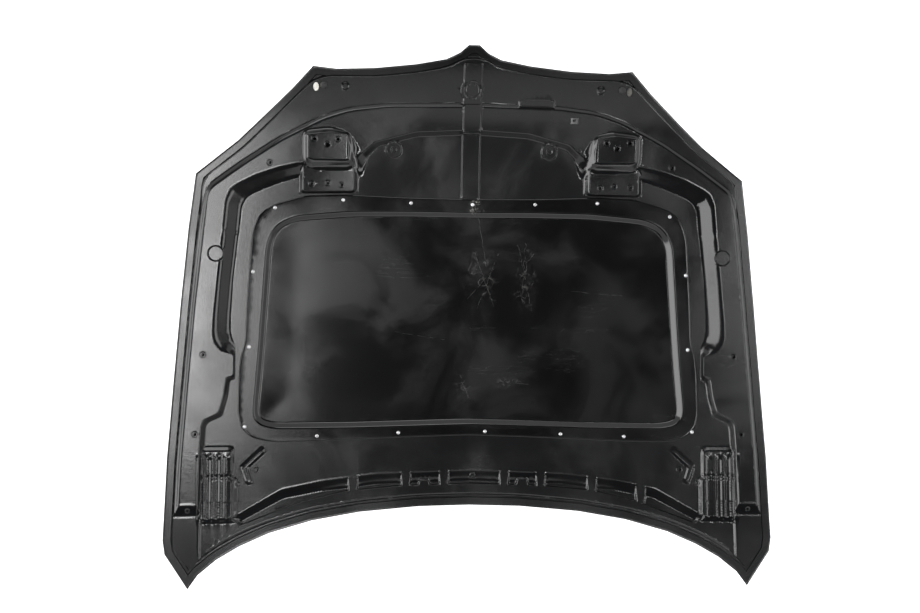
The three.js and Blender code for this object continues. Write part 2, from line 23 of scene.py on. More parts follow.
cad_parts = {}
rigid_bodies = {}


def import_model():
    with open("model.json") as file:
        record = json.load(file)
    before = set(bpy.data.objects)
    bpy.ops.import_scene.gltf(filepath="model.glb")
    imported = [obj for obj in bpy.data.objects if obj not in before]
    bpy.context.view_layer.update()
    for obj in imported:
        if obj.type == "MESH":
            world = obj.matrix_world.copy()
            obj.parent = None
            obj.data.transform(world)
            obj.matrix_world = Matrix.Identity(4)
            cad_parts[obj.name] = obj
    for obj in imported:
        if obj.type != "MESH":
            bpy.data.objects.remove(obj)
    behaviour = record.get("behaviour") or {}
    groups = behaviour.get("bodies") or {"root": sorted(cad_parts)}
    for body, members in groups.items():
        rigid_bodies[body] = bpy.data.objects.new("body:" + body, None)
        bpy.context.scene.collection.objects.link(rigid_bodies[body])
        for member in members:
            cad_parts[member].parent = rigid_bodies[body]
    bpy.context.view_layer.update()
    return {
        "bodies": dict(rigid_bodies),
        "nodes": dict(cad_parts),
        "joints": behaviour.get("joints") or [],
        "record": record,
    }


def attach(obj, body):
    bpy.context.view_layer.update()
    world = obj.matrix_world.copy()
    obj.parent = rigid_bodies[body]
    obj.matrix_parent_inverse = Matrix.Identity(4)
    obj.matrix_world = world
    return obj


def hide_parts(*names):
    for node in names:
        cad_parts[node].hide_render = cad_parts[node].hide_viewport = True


LOG = logging.getLogger("bonnet")
MM = 0.001
IMAGE_WIDTH = 920
SENSOR = 36.0
SMOOTH_BELOW = math.radians(60)

Point = Tuple[float, float]
Array = np.ndarray
Colour = Tuple[float, float, float]


class Side(Enum):
    """Half of the bonnet that a paired fitting belongs to."""

    RIGHT = 1
    LEFT = -1


class Act(Enum):
    """What a step of the relief does to the levels around it."""

    RAISE = "raise"
    SINK = "sink"
    ADD = "add"


@dataclass(frozen=True)
class Crown:
    """Doubly curved form of the bonnet, as heights in millimetres over its lowest point."""

    half_width: float = 725.0
    across: float = 60.0
    power: float = 2.2
    along: float = 40.0
    reach: float = 560.0
    low_y: float = -20.0
    nose_rise: float = 30.0
    nose_start: float = 350.0
    nose_reach: float = 300.0

    def height(self, x: Array, y: Array) -> Array:
        """Returns the crown's height at points of the plan.

        Args:
            x: Distances across the bonnet.
            y: Distances along the bonnet.

        Returns:
            Heights in millimetres.
        """
        nose = np.maximum(0.0, (y - self.nose_start) / self.nose_reach)
        side = self.across * np.abs(x / self.half_width) ** self.power
        return side + self.along * ((y - self.low_y) / self.reach) ** 2 + self.nose_rise * nose**2

    def slope(self, x: float, y: float) -> Tuple[float, float]:
        """Returns the crown's two slopes at one point.

        Args:
            x: Distance across the bonnet.
            y: Distance along the bonnet.

        Returns:
            Rise per millimetre along X and along Y.
        """
        step = 1.0
        px, py = np.array([x - step, x + step]), np.array([y - step, y + step])
        hx = self.height(px, np.array([y, y]))
        hy = self.height(np.array([x, x]), py)
        return float(hx[1] - hx[0]) / (2 * step), float(hy[1] - hy[0]) / (2 * step)


@dataclass(frozen=True)
class Outline:
    """Closed outline in the plan, in millimetres, running anticlockwise."""

    points: Tuple[Point, ...]

    @staticmethod
    def of(points: Sequence[Point]) -> "Outline":
        """Makes an anticlockwise outline of any ring of points.

        Args:
            points: Corners in order.

        Returns:
            The outline.
        """
        ring = np.array(points, float)
        after = np.roll(ring, -1, 0)
        area = np.sum(ring[:, 0] * after[:, 1] - after[:, 0] * ring[:, 1])
        ordered = ring if area > 0 else ring[::-1]
        return Outline(tuple((float(x), float(y)) for x, y in ordered))

    @staticmethod
    def mirrored(half: Sequence[Point]) -> "Outline":
        """Makes a symmetric outline of its right half.

        Args:
            half: Points of the right half, from the front to the rear of the middle line.

        Returns:
            The whole outline.
        """
        ring: List[Point] = []
        for x, y in [*half, *[(-x, y) for x, y in reversed(half)]]:
            if not ring or math.hypot(x - ring[-1][0], y - ring[-1][1]) > 1e-6:
                ring.append((x, y))
        if math.hypot(ring[0][0] - ring[-1][0], ring[0][1] - ring[-1][1]) < 1e-6:
            ring.pop()
        return Outline.of(ring)

    @staticmethod
    def oval(x: float, y: float, rx: float, ry: float, sides: int = 28) -> "Outline":
        """Makes an oval outline.

        Args:
            x: Middle, across.
            y: Middle, along.
            rx: Half the width.
            ry: Half the length.
            sides: Number of corners.

        Returns:
            The outline.
        """
        turn = np.linspace(0, 2 * math.pi, sides, endpoint=False)
        return Outline.of([(x + rx * math.cos(a), y + ry * math.sin(a)) for a in turn])

    @staticmethod
    def box(x0: float, y0: float, x1: float, y1: float) -> "Outline":
        """Makes a rectangular outline from two opposite corners."""
        return Outline.of([(x0, y0), (x1, y0), (x1, y1), (x0, y1)])

    def flipped(self) -> "Outline":
        """Returns the outline mirrored to the other half of the bonnet."""
        return Outline.of([(-x, y) for x, y in self.points])

    def grown(self, distance: float) -> "Outline":
        """Moves every edge of the outline outwards.

        Args:
            distance: How far, negative for inwards.

        Returns:
            The moved outline.
        """
        ring = np.array(self.points)
        before = ring - np.roll(ring, 1, 0)
        after = np.roll(ring, -1, 0) - ring
        before /= np.linalg.norm(before, axis=1)[:, None]
        after /= np.linalg.norm(after, axis=1)[:, None]
        n1 = np.stack([before[:, 1], -before[:, 0]], 1)
        n2 = np.stack([after[:, 1], -after[:, 0]], 1)
        middle = n1 + n2
        middle /= np.linalg.norm(middle, axis=1)[:, None]
        reach = distance / np.maximum(0.45, np.sum(middle * n1, 1))
        return Outline(tuple(map(tuple, ring + middle * reach[:, None])))

    def rounded(self, radius: float = 12.0, steps: int = 5) -> "Outline":
        """Rounds the outline's corners.

        Args:
            radius: How far from a corner its rounding starts, in millimetres.
            steps: Number of points that each rounding takes.

        Returns:
            The smoother outline.
        """
        ring = np.array(self.points)
        result: List[Point] = []
        for before, here, after in zip(np.roll(ring, 1, 0), ring, np.roll(ring, -1, 0)):
            reach_in = min(radius, 0.45 * float(np.linalg.norm(here - before)))
            reach_out = min(radius, 0.45 * float(np.linalg.norm(after - here)))
            start = here + (before - here) / np.linalg.norm(before - here) * reach_in
            end = here + (after - here) / np.linalg.norm(after - here) * reach_out
            for t in np.linspace(0, 1, steps):
                at = (1 - t) ** 2 * start + 2 * t * (1 - t) * here + t**2 * end
                result.append((float(at[0]), float(at[1])))
        return Outline(tuple(result))

    def distance(self, x: Array, y: Array) -> Array:
        """Measures signed distances to the outline.

        Args:
            x: Distances across.
            y: Distances along.

        Returns:
            Distances in millimetres, positive outside.
        """
        ring = np.array(self.points)
        after = np.roll(ring, -1, 0)
        best = np.full(x.shape, 1e18)
        inside = np.zeros(x.shape, bool)
        for (ax, ay), (bx, by) in zip(ring, after):
            ex, ey = bx - ax, by - ay
            wx, wy = x - ax, y - ay
            share = np.clip((wx * ex + wy * ey) / (ex * ex + ey * ey + 1e-12), 0, 1)
            best = np.minimum(best, (wx - ex * share) ** 2 + (wy - ey * share) ** 2)
            crosses = (ay > y) != (by > y)
            at = ax + (y - ay) * ex / (ey if abs(ey) > 1e-12 else 1e-12)
            inside ^= crosses & (x < at)
        away = np.sqrt(best)
        return np.where(inside, -away, away)

    def walk(self, spacing: float) -> Array:
        """Samples the outline evenly, keeping its corners.

        Args:
            spacing: Longest gap between samples.

        Returns:
            Rows of x, y and the outward direction.
        """
        rows: List[Array] = []
        ring = np.array(self.points)
        for a, b in zip(ring, np.roll(ring, -1, 0)):
            length = float(np.linalg.norm(b - a))
            if length < 1e-9:
                continue
            count = max(1, math.ceil(length / spacing))
            out = np.array([b[1] - a[1], a[0] - b[0]]) / length
            share = (np.arange(count) / count)[:, None]
            at = a + (b - a) * share
            rows.append(np.hstack([at, np.repeat(out[None], count, 0)]))
        return np.vstack(rows)


def soft_ramp(share: Array, ease: float = 0.25) -> Array:
    """Ramps from 0 to 1 with rounded ends.

    Args:
        share: Position along the ramp, 0 at its start.
        ease: Share of the ramp that each rounding takes, up to a half.

    Returns:
        Values from 0 to 1.
    """
    t = np.clip(share, 0, 1)
    full = 1 - ease
    low = t * t / (2 * ease)
    middle = t - ease / 2
    high = full - (1 - t) ** 2 / (2 * ease)
    return np.where(t < ease, low, np.where(t > 1 - ease, high, middle)) / full


@dataclass(frozen=True)
class Step:
    """One raised or sunk form of the relief, with a sloping wall between two outlines.

    Levels are millimetres over the outer face of the skin. A raised form's wall runs from its top
    outline out to its foot; a sunk form's wall runs from its rim inwards to its foot.
    """

    name: str
    act: Act
    top: Outline
    foot: Outline
    level: float
    base: float
    flat_at: Optional[Point] = None
    ease: float = 0.25
    rows: Tuple[float, ...] = (-0.08, 0.0, 0.14, 0.3, 0.7, 0.86, 1.0, 1.08)

    def share(self, x: Array, y: Array) -> Array:
        """Measures how far down the wall points lie.

        Args:
            x: Distances across.
            y: Distances along.

        Returns:
            0 on the side of the top outline, 1 beyond the foot.
        """
        if self.act is Act.SINK:
            from_top = -self.top.distance(x, y)
            to_foot = self.foot.distance(x, y)
        else:
            from_top = self.top.distance(x, y)
            to_foot = -self.foot.distance(x, y)
        total = np.maximum(from_top, 0) + np.maximum(to_foot, 0)
        ratio = np.maximum(from_top, 0) / np.maximum(total, 1e-9)
        return np.where(from_top <= 0, 0.0, np.where(to_foot <= 0, 1.0, ratio))

    def apply(self, level: Array, x: Array, y: Array, crown: Crown) -> Array:
        """Works this form into the levels.

        Args:
            level: Levels so far.
            x: Distances across.
            y: Distances along.
            crown: The bonnet's crown.

        Returns:
            The new levels.
        """
        ring = np.array(self.foot.points if self.act is not Act.SINK else self.top.points)
        low, high = ring.min(0) - 2, ring.max(0) + 2
        near = (x > low[0]) & (x < high[0]) & (y > low[1]) & (y < high[1])
        if not near.any():
            return level
        result = level.copy()
        px, py = x[near], y[near]
        drop = soft_ramp(self.share(px, py), self.ease)
        target = np.full(px.shape, self.level)
        if self.flat_at is not None:
            cx, cy = self.flat_at
            sx, sy = crown.slope(cx, cy)
            plane = float(crown.height(np.array([cx]), np.array([cy]))[0])
            target += plane + sx * (px - cx) + sy * (py - cy) - crown.height(px, py)
        if self.act is Act.RAISE:
            form = target + (self.base - target) * drop
            result[near] = np.where(drop < 1, np.maximum(level[near], form), level[near])
        elif self.act is Act.SINK:
            form = self.base + (target - self.base) * drop
            result[near] = np.where(drop > 0, np.minimum(level[near], form), level[near])
        else:
            result[near] = level[near] + self.level * (1 - drop)
        return result

    def seeds(self, spacing: float) -> Array:
        """Places mesh points in rows along the wall.

        Args:
            spacing: Gap between the points of a row.

        Returns:
            Rows of x and y.
        """
        walk = self.top.walk(spacing)
        run = np.abs(self.foot.distance(walk[:, 0], walk[:, 1]))
        run = np.clip(run, 0.8, 60)
        sign = -1.0 if self.act is Act.SINK else 1.0
        rows = [walk[:, :2] + walk[:, 2:] * (run * row * sign)[:, None] for row in self.rows]
        foot = self.foot.walk(spacing)
        for row in (-0.5, 0.5):
            rows.append(foot[:, :2] + foot[:, 2:] * row)
        return np.vstack(rows)

    def creases(self, spacing: float) -> List[Array]:
        """Returns the rings that the mesh keeps as creases.

        Args:
            spacing: Gap between the points of a ring.

        Returns:
            Rings of x and y.
        """
        return [self.top.walk(spacing)[:, :2], self.foot.walk(spacing)[:, :2]]


@dataclass
class Sheet:
    """A moulded sheet with relief, meshed finely along its forms."""

    name: str
    crown: Crown
    outline: Outline
    holes: List[Outline]
    steps: List[Step]
    base: float
    thickness: float
    cell: float = 9.0
    spacing: float = 5.0
    waviness: float = 0.0
    seed: int = 1
    extra: Optional[Callable[[Array, Array], Array]] = None

    def level(self, x: Array, y: Array) -> Array:
        """Returns the sheet's upper level over the skin's outer face.

        Args:
            x: Distances across.
            y: Distances along.

        Returns:
            Levels in millimetres.
        """
        result = np.full(x.shape, self.base)
        for step in self.steps:
            result = step.apply(result, x, y, self.crown)
        if self.extra is not None:
            result = result + self.extra(x, y)
        if self.waviness:
            result = result + self.waviness * self.ripple(x, y)
        return result

    def ripple(self, x: Array, y: Array) -> Array:
        """Gives the slow unevenness of a hand-laid moulding, from -1 to 1."""
        rng = np.random.default_rng(self.seed)
        total = np.zeros(x.shape)
        weight = 0.0
        for length in (420.0, 260.0, 170.0, 110.0):
            for _ in range(3):
                turn, phase = rng.uniform(0, 2 * math.pi, 2)
                along = (x * math.cos(turn) + y * math.sin(turn)) * 2 * math.pi / length
                total += (length / 420.0) ** 1.6 * np.sin(along + phase)
                weight += (length / 420.0) ** 1.6
        return total / weight

    def points(self) -> Array:
        """Collects the mesh points: rows along every wall and a fill between them."""
        low = np.array(self.outline.points).min(0)
        high = np.array(self.outline.points).max(0)
        rows = [step.seeds(self.spacing) for step in self.steps]
        for ring, sign in [(self.outline, -1.0)] + [(hole, 1.0) for hole in self.holes]:
            walk = ring.walk(self.spacing)
            for row in (0.0, 0.5, 1.2, 2.4, 4.5):
                rows.append(walk[:, :2] + walk[:, 2:] * row * sign)
        near = np.vstack(rows)
        keys = np.round(near / 0.45).astype(np.int64)
        _, first = np.unique(keys, axis=0, return_index=True)
        near = near[np.sort(first)]
        gx, gy = np.meshgrid(np.arange(low[0], high[0], self.cell),
                             np.arange(low[1], high[1], self.cell))
        gx = gx + (np.arange(gx.shape[0]) % 2)[:, None] * self.cell / 2
        fill = np.stack([gx.ravel(), gy.ravel()], 1)
        taken = {tuple(k) for k in np.round(near / (self.cell * 0.75)).astype(np.int64).tolist()}
        keys = np.round(fill / (self.cell * 0.75)).astype(np.int64).tolist()
        free = np.array([tuple(k) not in taken for k in keys])
        return np.vstack([near, fill[free]])

    def build(self) -> bpy.types.Object:
        """Meshes the sheet and links it to the scene.

        Returns:
            The new object, with its edge and hollow masks as attributes.
        """
        cloud = self.points()
        inside = self.outline.distance(cloud[:, 0], cloud[:, 1]) < 0.01
        for hole in self.holes:
            inside &= hole.distance(cloud[:, 0], cloud[:, 1]) > -0.01
        cloud = cloud[inside]
        rings = [ring.walk(self.spacing)[:, :2] for ring in [self.outline, *self.holes]]
        for step in self.steps:
            rings += step.creases(self.spacing)
        verts: List[Array] = [cloud]
        edges: List[Tuple[int, int]] = []
        start = len(cloud)
        for ring in rings:
            verts.append(ring)
            count = len(ring)
            edges += [(start + i, start + (i + 1) % count) for i in range(count)]
            start += count
        flat = np.vstack(verts)
        out = delaunay_2d_cdt([Vector(p) for p in flat.tolist()], edges, [], 0, 1e-3, False)
        plan = np.array([tuple(v) for v in out[0]])
        faces = np.array([f for f in out[2] if len(f) == 3], np.int64)
        middle = plan[faces].mean(1)
        keep = self.outline.distance(middle[:, 0], middle[:, 1]) < 0
        for hole in self.holes:
            keep &= hole.distance(middle[:, 0], middle[:, 1]) > 0
        faces = faces[keep]
        used, packed = np.unique(faces, return_inverse=True)
        faces = packed.reshape(-1, 3)
        plan = plan[used]
        x, y = plan[:, 0], plan[:, 1]
        z = self.level(x, y) + self.crown.height(x, y)
        top = np.stack([x, y, z], 1)
        return self.shell(top, faces)

    def shell(self, top: Array, faces: Array) -> bpy.types.Object:
        """Turns the upper face into a thin shell with an edge all round.

        Args:
            top: Points of the upper face, in millimetres.
            faces: Triangles of the upper face.

        Returns:
            The new object.
        """
        count = len(top)
        under = top.copy()
        under[:, 2] -= self.thickness
        sides = np.vstack([faces[:, [0, 1]], faces[:, [1, 2]], faces[:, [2, 0]]])
        key = np.sort(sides, 1)
        _, first, times = np.unique(key, axis=0, return_index=True, return_counts=True)
        rim = sides[first[times == 1]]
        wall = np.vstack([
            np.stack([rim[:, 1], rim[:, 0], rim[:, 0] + count], 1),
            np.stack([rim[:, 1], rim[:, 0] + count, rim[:, 1] + count], 1)])
        all_faces = np.vstack([faces, faces[:, ::-1] + count, wall])
        all_points = np.vstack([top, under]) * MM
        mesh = bpy.data.meshes.new(self.name)
        mesh.from_pydata(all_points.tolist(), [], all_faces.tolist())
        mesh.shade_smooth()
        mesh.set_sharp_from_angle(angle=SMOOTH_BELOW)
        edge, hollow = self.bends(top, faces)
        for name, values in (("edge", edge), ("hollow", hollow)):
            both = np.concatenate([values, values]).astype(np.float32)
            mesh.attributes.new(name, "FLOAT", "POINT").data.foreach_set("value", both)
        made = bpy.data.objects.new(self.name, mesh)
        bpy.context.scene.collection.objects.link(made)
        return made

    @staticmethod
    def bends(top: Array, faces: Array) -> Tuple[Array, Array]:
        """Finds where the sheet bends outwards and where it bends inwards.

        Args:
            top: Points of the upper face.
            faces: Its triangles.

        Returns:
            An edge mask and a hollow mask, both from 0 to 1.
        """
        sides = np.vstack([faces[:, [0, 1]], faces[:, [1, 2]], faces[:, [2, 0]]])
        a, b = sides[:, 0], sides[:, 1]
        span = np.linalg.norm(top[a, :2] - top[b, :2], axis=1) + 0.3
        rise = (top[b, 2] - top[a, 2]) / span
        total = np.zeros(len(top))
        times = np.zeros(len(top))
        np.add.at(total, a, rise)
        np.add.at(total, b, -rise)
        np.add.at(times, a, 1)
        np.add.at(times, b, 1)
        bend = total / np.maximum(times, 1)
        return np.clip(-bend * 3.2, 0, 1), np.clip(bend * 3.2, 0, 1)


# Shader node groups


def new_group(name: str, inputs: Sequence[Tuple[str, str, object]],
              outputs: Sequence[Tuple[str, str]]) -> bpy.types.ShaderNodeTree:
    """Starts a shader node group with named sockets.

    Args:
        name: The group's name.
        inputs: Name, socket type and default of every input.
        outputs: Name and socket type of every output.

    Returns:
        The group, with its input and output nodes.
    """
    group = bpy.data.node_groups.new(name, "ShaderNodeTree")
    for label, kind, default in inputs:
        socket = group.interface.new_socket(label, in_out="INPUT", socket_type=kind)
        socket.default_value = default
    for label, kind in outputs:
        group.interface.new_socket(label, in_out="OUTPUT", socket_type=kind)
    group.nodes.new("NodeGroupInput")
    group.nodes.new("NodeGroupOutput")
    return group


class Wiring:
    """Short ways to add and join nodes in one node tree."""

    def __init__(self, tree: bpy.types.NodeTree) -> None:
        """Keeps the tree.

        Args:
            tree: A material's tree or a group.
        """
        self.tree = tree

    def node(self, kind: str, **settings: object) -> bpy.types.Node:
        """Adds a node.

        Args:
            kind: The node's type.
            **settings: Properties to set on it.

        Returns:
            The node.
        """
        made = self.tree.nodes.new(kind)
        for name, value in settings.items():
            setattr(made, name, value)
        return made

    def put(self, socket: bpy.types.NodeSocket, value: object) -> None:
        """Joins a socket to another one, or sets its value.

        Args:
            socket: The input.
            value: An output socket, or a plain value.
        """
        if isinstance(value, bpy.types.NodeSocket):
            self.tree.links.new(value, socket)
        else:
            socket.default_value = value

    def maths(self, operation: str, a: object, b: object = 0.0, clamp: bool = False
              ) -> bpy.types.NodeSocket:
        """Adds a Math node.

        Args:
            operation: Its operation.
            a: First value or socket.
            b: Second value or socket.
            clamp: Whether the result stays from 0 to 1.

        Returns:
            Its output.
        """
        made = self.node("ShaderNodeMath", operation=operation, use_clamp=clamp)
        self.put(made.inputs[0], a)
        self.put(made.inputs[1], b)
        return made.outputs[0]

    def vector(self, operation: str, a: object, b: object = (0, 0, 0)) -> bpy.types.Node:
        """Adds a Vector Math node.

        Args:
            operation: Its operation.
            a: First vector or socket.
            b: Second one, or the factor of a scaling.

        Returns:
            The node.
        """
        made = self.node("ShaderNodeVectorMath", operation=operation)
        self.put(made.inputs[0], a)
        self.put(made.inputs["Scale" if operation == "SCALE" else 1], b)
        return made

    def noise(self, vector: object, scale: float, detail: float = 4.0, rough: float = 0.5,
              warp: float = 0.0) -> bpy.types.NodeSocket:
        """Adds a Noise Texture node and returns its factor.

        Args:
            vector: Coordinates.
            scale: Its scale, per metre.
            detail: Its detail.
            rough: Its roughness.
            warp: Its distortion.

        Returns:
            The factor output.
        """
        made = self.node("ShaderNodeTexNoise")
        self.put(made.inputs["Vector"], vector)
        self.put(made.inputs["Scale"], scale)
        self.put(made.inputs["Detail"], detail)
        self.put(made.inputs["Roughness"], rough)
        self.put(made.inputs["Distortion"], warp)
        return made.outputs["Fac"]

    def span(self, value: object, low: object, high: object, to_low: object = 0.0,
             to_high: object = 1.0) -> bpy.types.NodeSocket:
        """Maps a range of values to another one, smoothly and clamped.

        Args:
            value: The value or socket.
            low: Start of the range.
            high: End of the range.
            to_low: What the start becomes.
            to_high: What the end becomes.

        Returns:
            The mapped output.
        """
        made = self.node("ShaderNodeMapRange", interpolation_type="SMOOTHSTEP")
        for socket, item in zip(made.inputs[:5], (value, low, high, to_low, to_high)):
            self.put(socket, item)
        return made.outputs[0]

    def mix(self, factor: object, a: object, b: object) -> bpy.types.NodeSocket:
        """Mixes two colours.

        Args:
            factor: Share of the second.
            a: First colour.
            b: Second colour.

        Returns:
            The mixed colour.
        """
        made = self.node("ShaderNodeMix", data_type="RGBA")
        self.put(made.inputs[0], factor)
        for socket, value in ((made.inputs[6], a), (made.inputs[7], b)):
            plain = not isinstance(value, bpy.types.NodeSocket) and len(value) == 3
            self.put(socket, (*value, 1.0) if plain else value)
        return made.outputs[2]

    def group(self, group: bpy.types.ShaderNodeTree, **inputs: object) -> bpy.types.Node:
        """Places a node group and sets its inputs.

        Args:
            group: The group.
            **inputs: Values or sockets by input name, with _ for spaces.

        Returns:
            The group's node.
        """
        made = self.node("ShaderNodeGroup", node_tree=group)
        for name, value in inputs.items():
            self.put(made.inputs[name.replace("_", " ")], value)
        return made

    def ends(self) -> Tuple[bpy.types.Node, bpy.types.Node]:
        """Returns a group's input and output nodes."""
        nodes = self.tree.nodes
        return nodes["Group Input"], nodes["Group Output"]

    def seen(self) -> bpy.types.NodeSocket:
        """Returns 1 for rays of the camera, of mirrors and of glass, and 0 for other rays."""
        path = self.node("ShaderNodeLightPath")
        seen = self.maths("MAXIMUM", path.outputs["Is Camera Ray"], path.outputs["Is Glossy Ray"])
        return self.maths("MAXIMUM", seen, path.outputs["Is Transmission Ray"])

    def shade(self, colour: object, rough: object, height: object, bump: float, depth: float
              ) -> bpy.types.Node:
        """Adds a bump, a Principled shader and the material's output.

        Args:
            colour: The base colour.
            rough: The roughness.
            height: The bump's height.
            bump: The bump's strength.
            depth: The bump's distance in metres.

        Returns:
            The shader.
        """
        relief = self.node("ShaderNodeBump")
        relief.inputs["Strength"].default_value = bump
        relief.inputs["Distance"].default_value = depth
        self.put(relief.inputs["Height"], height)
        shader = self.node("ShaderNodeBsdfPrincipled")
        self.put(shader.inputs["Base Color"], colour)
        self.put(shader.inputs["Roughness"], rough)
        self.put(shader.inputs["Normal"], relief.outputs[0])
        end = self.node("ShaderNodeOutputMaterial")
        self.put(end.inputs["Surface"], shader.outputs[0])
        return shader


def new_material(name: str) -> Tuple[bpy.types.Material, Wiring]:
    """Starts a node material with nothing in it.

    Args:
        name: The material's name.

    Returns:
        The material and the wiring of its tree.
    """
    material = bpy.data.materials.new(name)
    material.use_nodes = True
    material.node_tree.nodes.clear()
    return material, Wiring(material.node_tree)


class Effects:
    """Node groups that several finishes share."""

    def __init__(self) -> None:
        """Builds every group once."""
        self.mottle = self.make_mottle()
        self.scratches = self.make_scratches()
        self.dust = self.make_dust()
        self.wear = self.make_wear()
        self.peel = self.make_peel()
        self.stroke = self.make_stroke()
        self.smear = self.make_smear()

    @staticmethod
    def make_mottle() -> bpy.types.ShaderNodeTree:
        """Makes slow patches of shade and gloss."""
        group = new_group(
            "uneven_gelcoat",
            [("Vector", "NodeSocketVector", (0, 0, 0)), ("Scale", "NodeSocketFloat", 6.0)],
            [("Patches", "NodeSocketFloat"), ("Fine", "NodeSocketFloat")])
        w = Wiring(group)
        start, end = w.ends()
        slow = w.noise(start.outputs["Vector"], 1.0, 5.0, 0.55, 0.6)
        w.put(slow.node.inputs["Scale"], start.outputs["Scale"])
        fine = w.noise(start.outputs["Vector"], 220.0, 3.0, 0.6)
        w.put(end.inputs["Patches"], w.span(slow, 0.32, 0.7))
        w.put(end.inputs["Fine"], w.span(fine, 0.3, 0.75))
        return group

    @staticmethod
    def make_scratches() -> bpy.types.ShaderNodeTree:
        """Makes many fine, nearly straight scratches in several directions."""
        group = new_group(
            "fine_scratches",
            [("Vector", "NodeSocketVector", (0, 0, 0)), ("Amount", "NodeSocketFloat", 0.5)],
            [("Mask", "NodeSocketFloat")])
        w = Wiring(group)
        start, end = w.ends()
        total: object = 0.0
        for turn, scale, offset in ((0.35, 24.0, 0.0), (1.25, 19.0, 3.1), (-0.7, 28.0, 7.7)):
            spin = w.node("ShaderNodeMapping")
            w.put(spin.inputs["Vector"], start.outputs["Vector"])
            spin.inputs["Rotation"].default_value = (0, 0, turn)
            spin.inputs["Location"].default_value = (offset, offset * 0.4, 0)
            spin.inputs["Scale"].default_value = (0.08, 1.0, 1.0)
            line = w.noise(spin.outputs[0], scale * 6, 2.0, 0.5, 0.25)
            thin = w.span(w.maths("ABSOLUTE", w.maths("SUBTRACT", line, 0.5)), 0.0, 0.006, 1, 0)
            gate = w.noise(spin.outputs[0], scale * 0.9, 2.0, 0.5)
            total = w.maths("ADD", total, w.maths("MULTIPLY", thin, w.span(gate, 0.56, 0.7)))
        patch = w.span(w.noise(start.outputs["Vector"], 5.0, 3.0), 0.42, 0.68)
        mask = w.maths("MULTIPLY", total, patch)
        w.put(end.inputs["Mask"], w.maths("MULTIPLY", mask, start.outputs["Amount"], True))
        return group

    @staticmethod
    def make_dust() -> bpy.types.ShaderNodeTree:
        """Makes dust that settles in hollows and in faint clouds."""
        group = new_group(
            "settled_dust",
            [("Vector", "NodeSocketVector", (0, 0, 0)), ("Hollow", "NodeSocketFloat", 0.0),
             ("Amount", "NodeSocketFloat", 0.5)],
            [("Mask", "NodeSocketFloat")])
        w = Wiring(group)
        start, end = w.ends()
        cloud = w.span(w.noise(start.outputs["Vector"], 7.0, 8.0, 0.62, 0.8), 0.45, 0.8)
        grain = w.span(w.noise(start.outputs["Vector"], 420.0, 2.0, 0.7), 0.45, 0.8)
        specks = w.span(w.noise(start.outputs["Vector"], 900.0, 1.0, 0.5), 0.7, 0.78)
        body = w.maths("MULTIPLY", cloud, w.maths("ADD", w.maths("MULTIPLY", grain, 0.7), 0.3))
        body = w.maths("ADD", body, w.maths("MULTIPLY", specks, 0.35))
        body = w.maths("ADD", body, w.maths("MULTIPLY", start.outputs["Hollow"], 0.2))
        w.put(end.inputs["Mask"], w.maths("MULTIPLY", body, start.outputs["Amount"], True))
        return group

    @staticmethod
    def make_wear() -> bpy.types.ShaderNodeTree:
        """Makes broken, rubbed lines on outward edges."""
        group = new_group(
            "rubbed_edges",
            [("Vector", "NodeSocketVector", (0, 0, 0)), ("Edge", "NodeSocketFloat", 0.0),
             ("Amount", "NodeSocketFloat", 0.5)],
            [("Mask", "NodeSocketFloat")])
        w = Wiring(group)
        start, end = w.ends()
        broken = w.span(w.noise(start.outputs["Vector"], 60.0, 6.0, 0.7), 0.42, 0.66)
        body = w.maths("MULTIPLY", w.span(start.outputs["Edge"], 0.15, 0.8), broken)
        w.put(end.inputs["Mask"], w.maths("MULTIPLY", body, start.outputs["Amount"], True))
        return group

    @staticmethod
    def make_peel() -> bpy.types.ShaderNodeTree:
        """Makes the height of a slightly uneven sprayed gelcoat."""
        group = new_group(
            "orange_peel",
            [("Vector", "NodeSocketVector", (0, 0, 0)), ("Weave", "NodeSocketFloat", 0.3)],
            [("Height", "NodeSocketFloat")])
        w = Wiring(group)
        start, end = w.ends()
        peel = w.noise(start.outputs["Vector"], 240.0, 3.0, 0.5)
        wave = w.node("ShaderNodeTexWave", wave_type="BANDS", bands_direction="DIAGONAL")
        w.put(wave.inputs["Vector"], start.outputs["Vector"])
        wave.inputs["Scale"].default_value = 26.0
        wave.inputs["Distortion"].default_value = 5.0
        wave.inputs["Detail"].default_value = 3.0
        print_through = w.maths("MULTIPLY", wave.outputs["Fac"], start.outputs["Weave"])
        w.put(end.inputs["Height"], w.maths("ADD", peel, print_through))
        return group

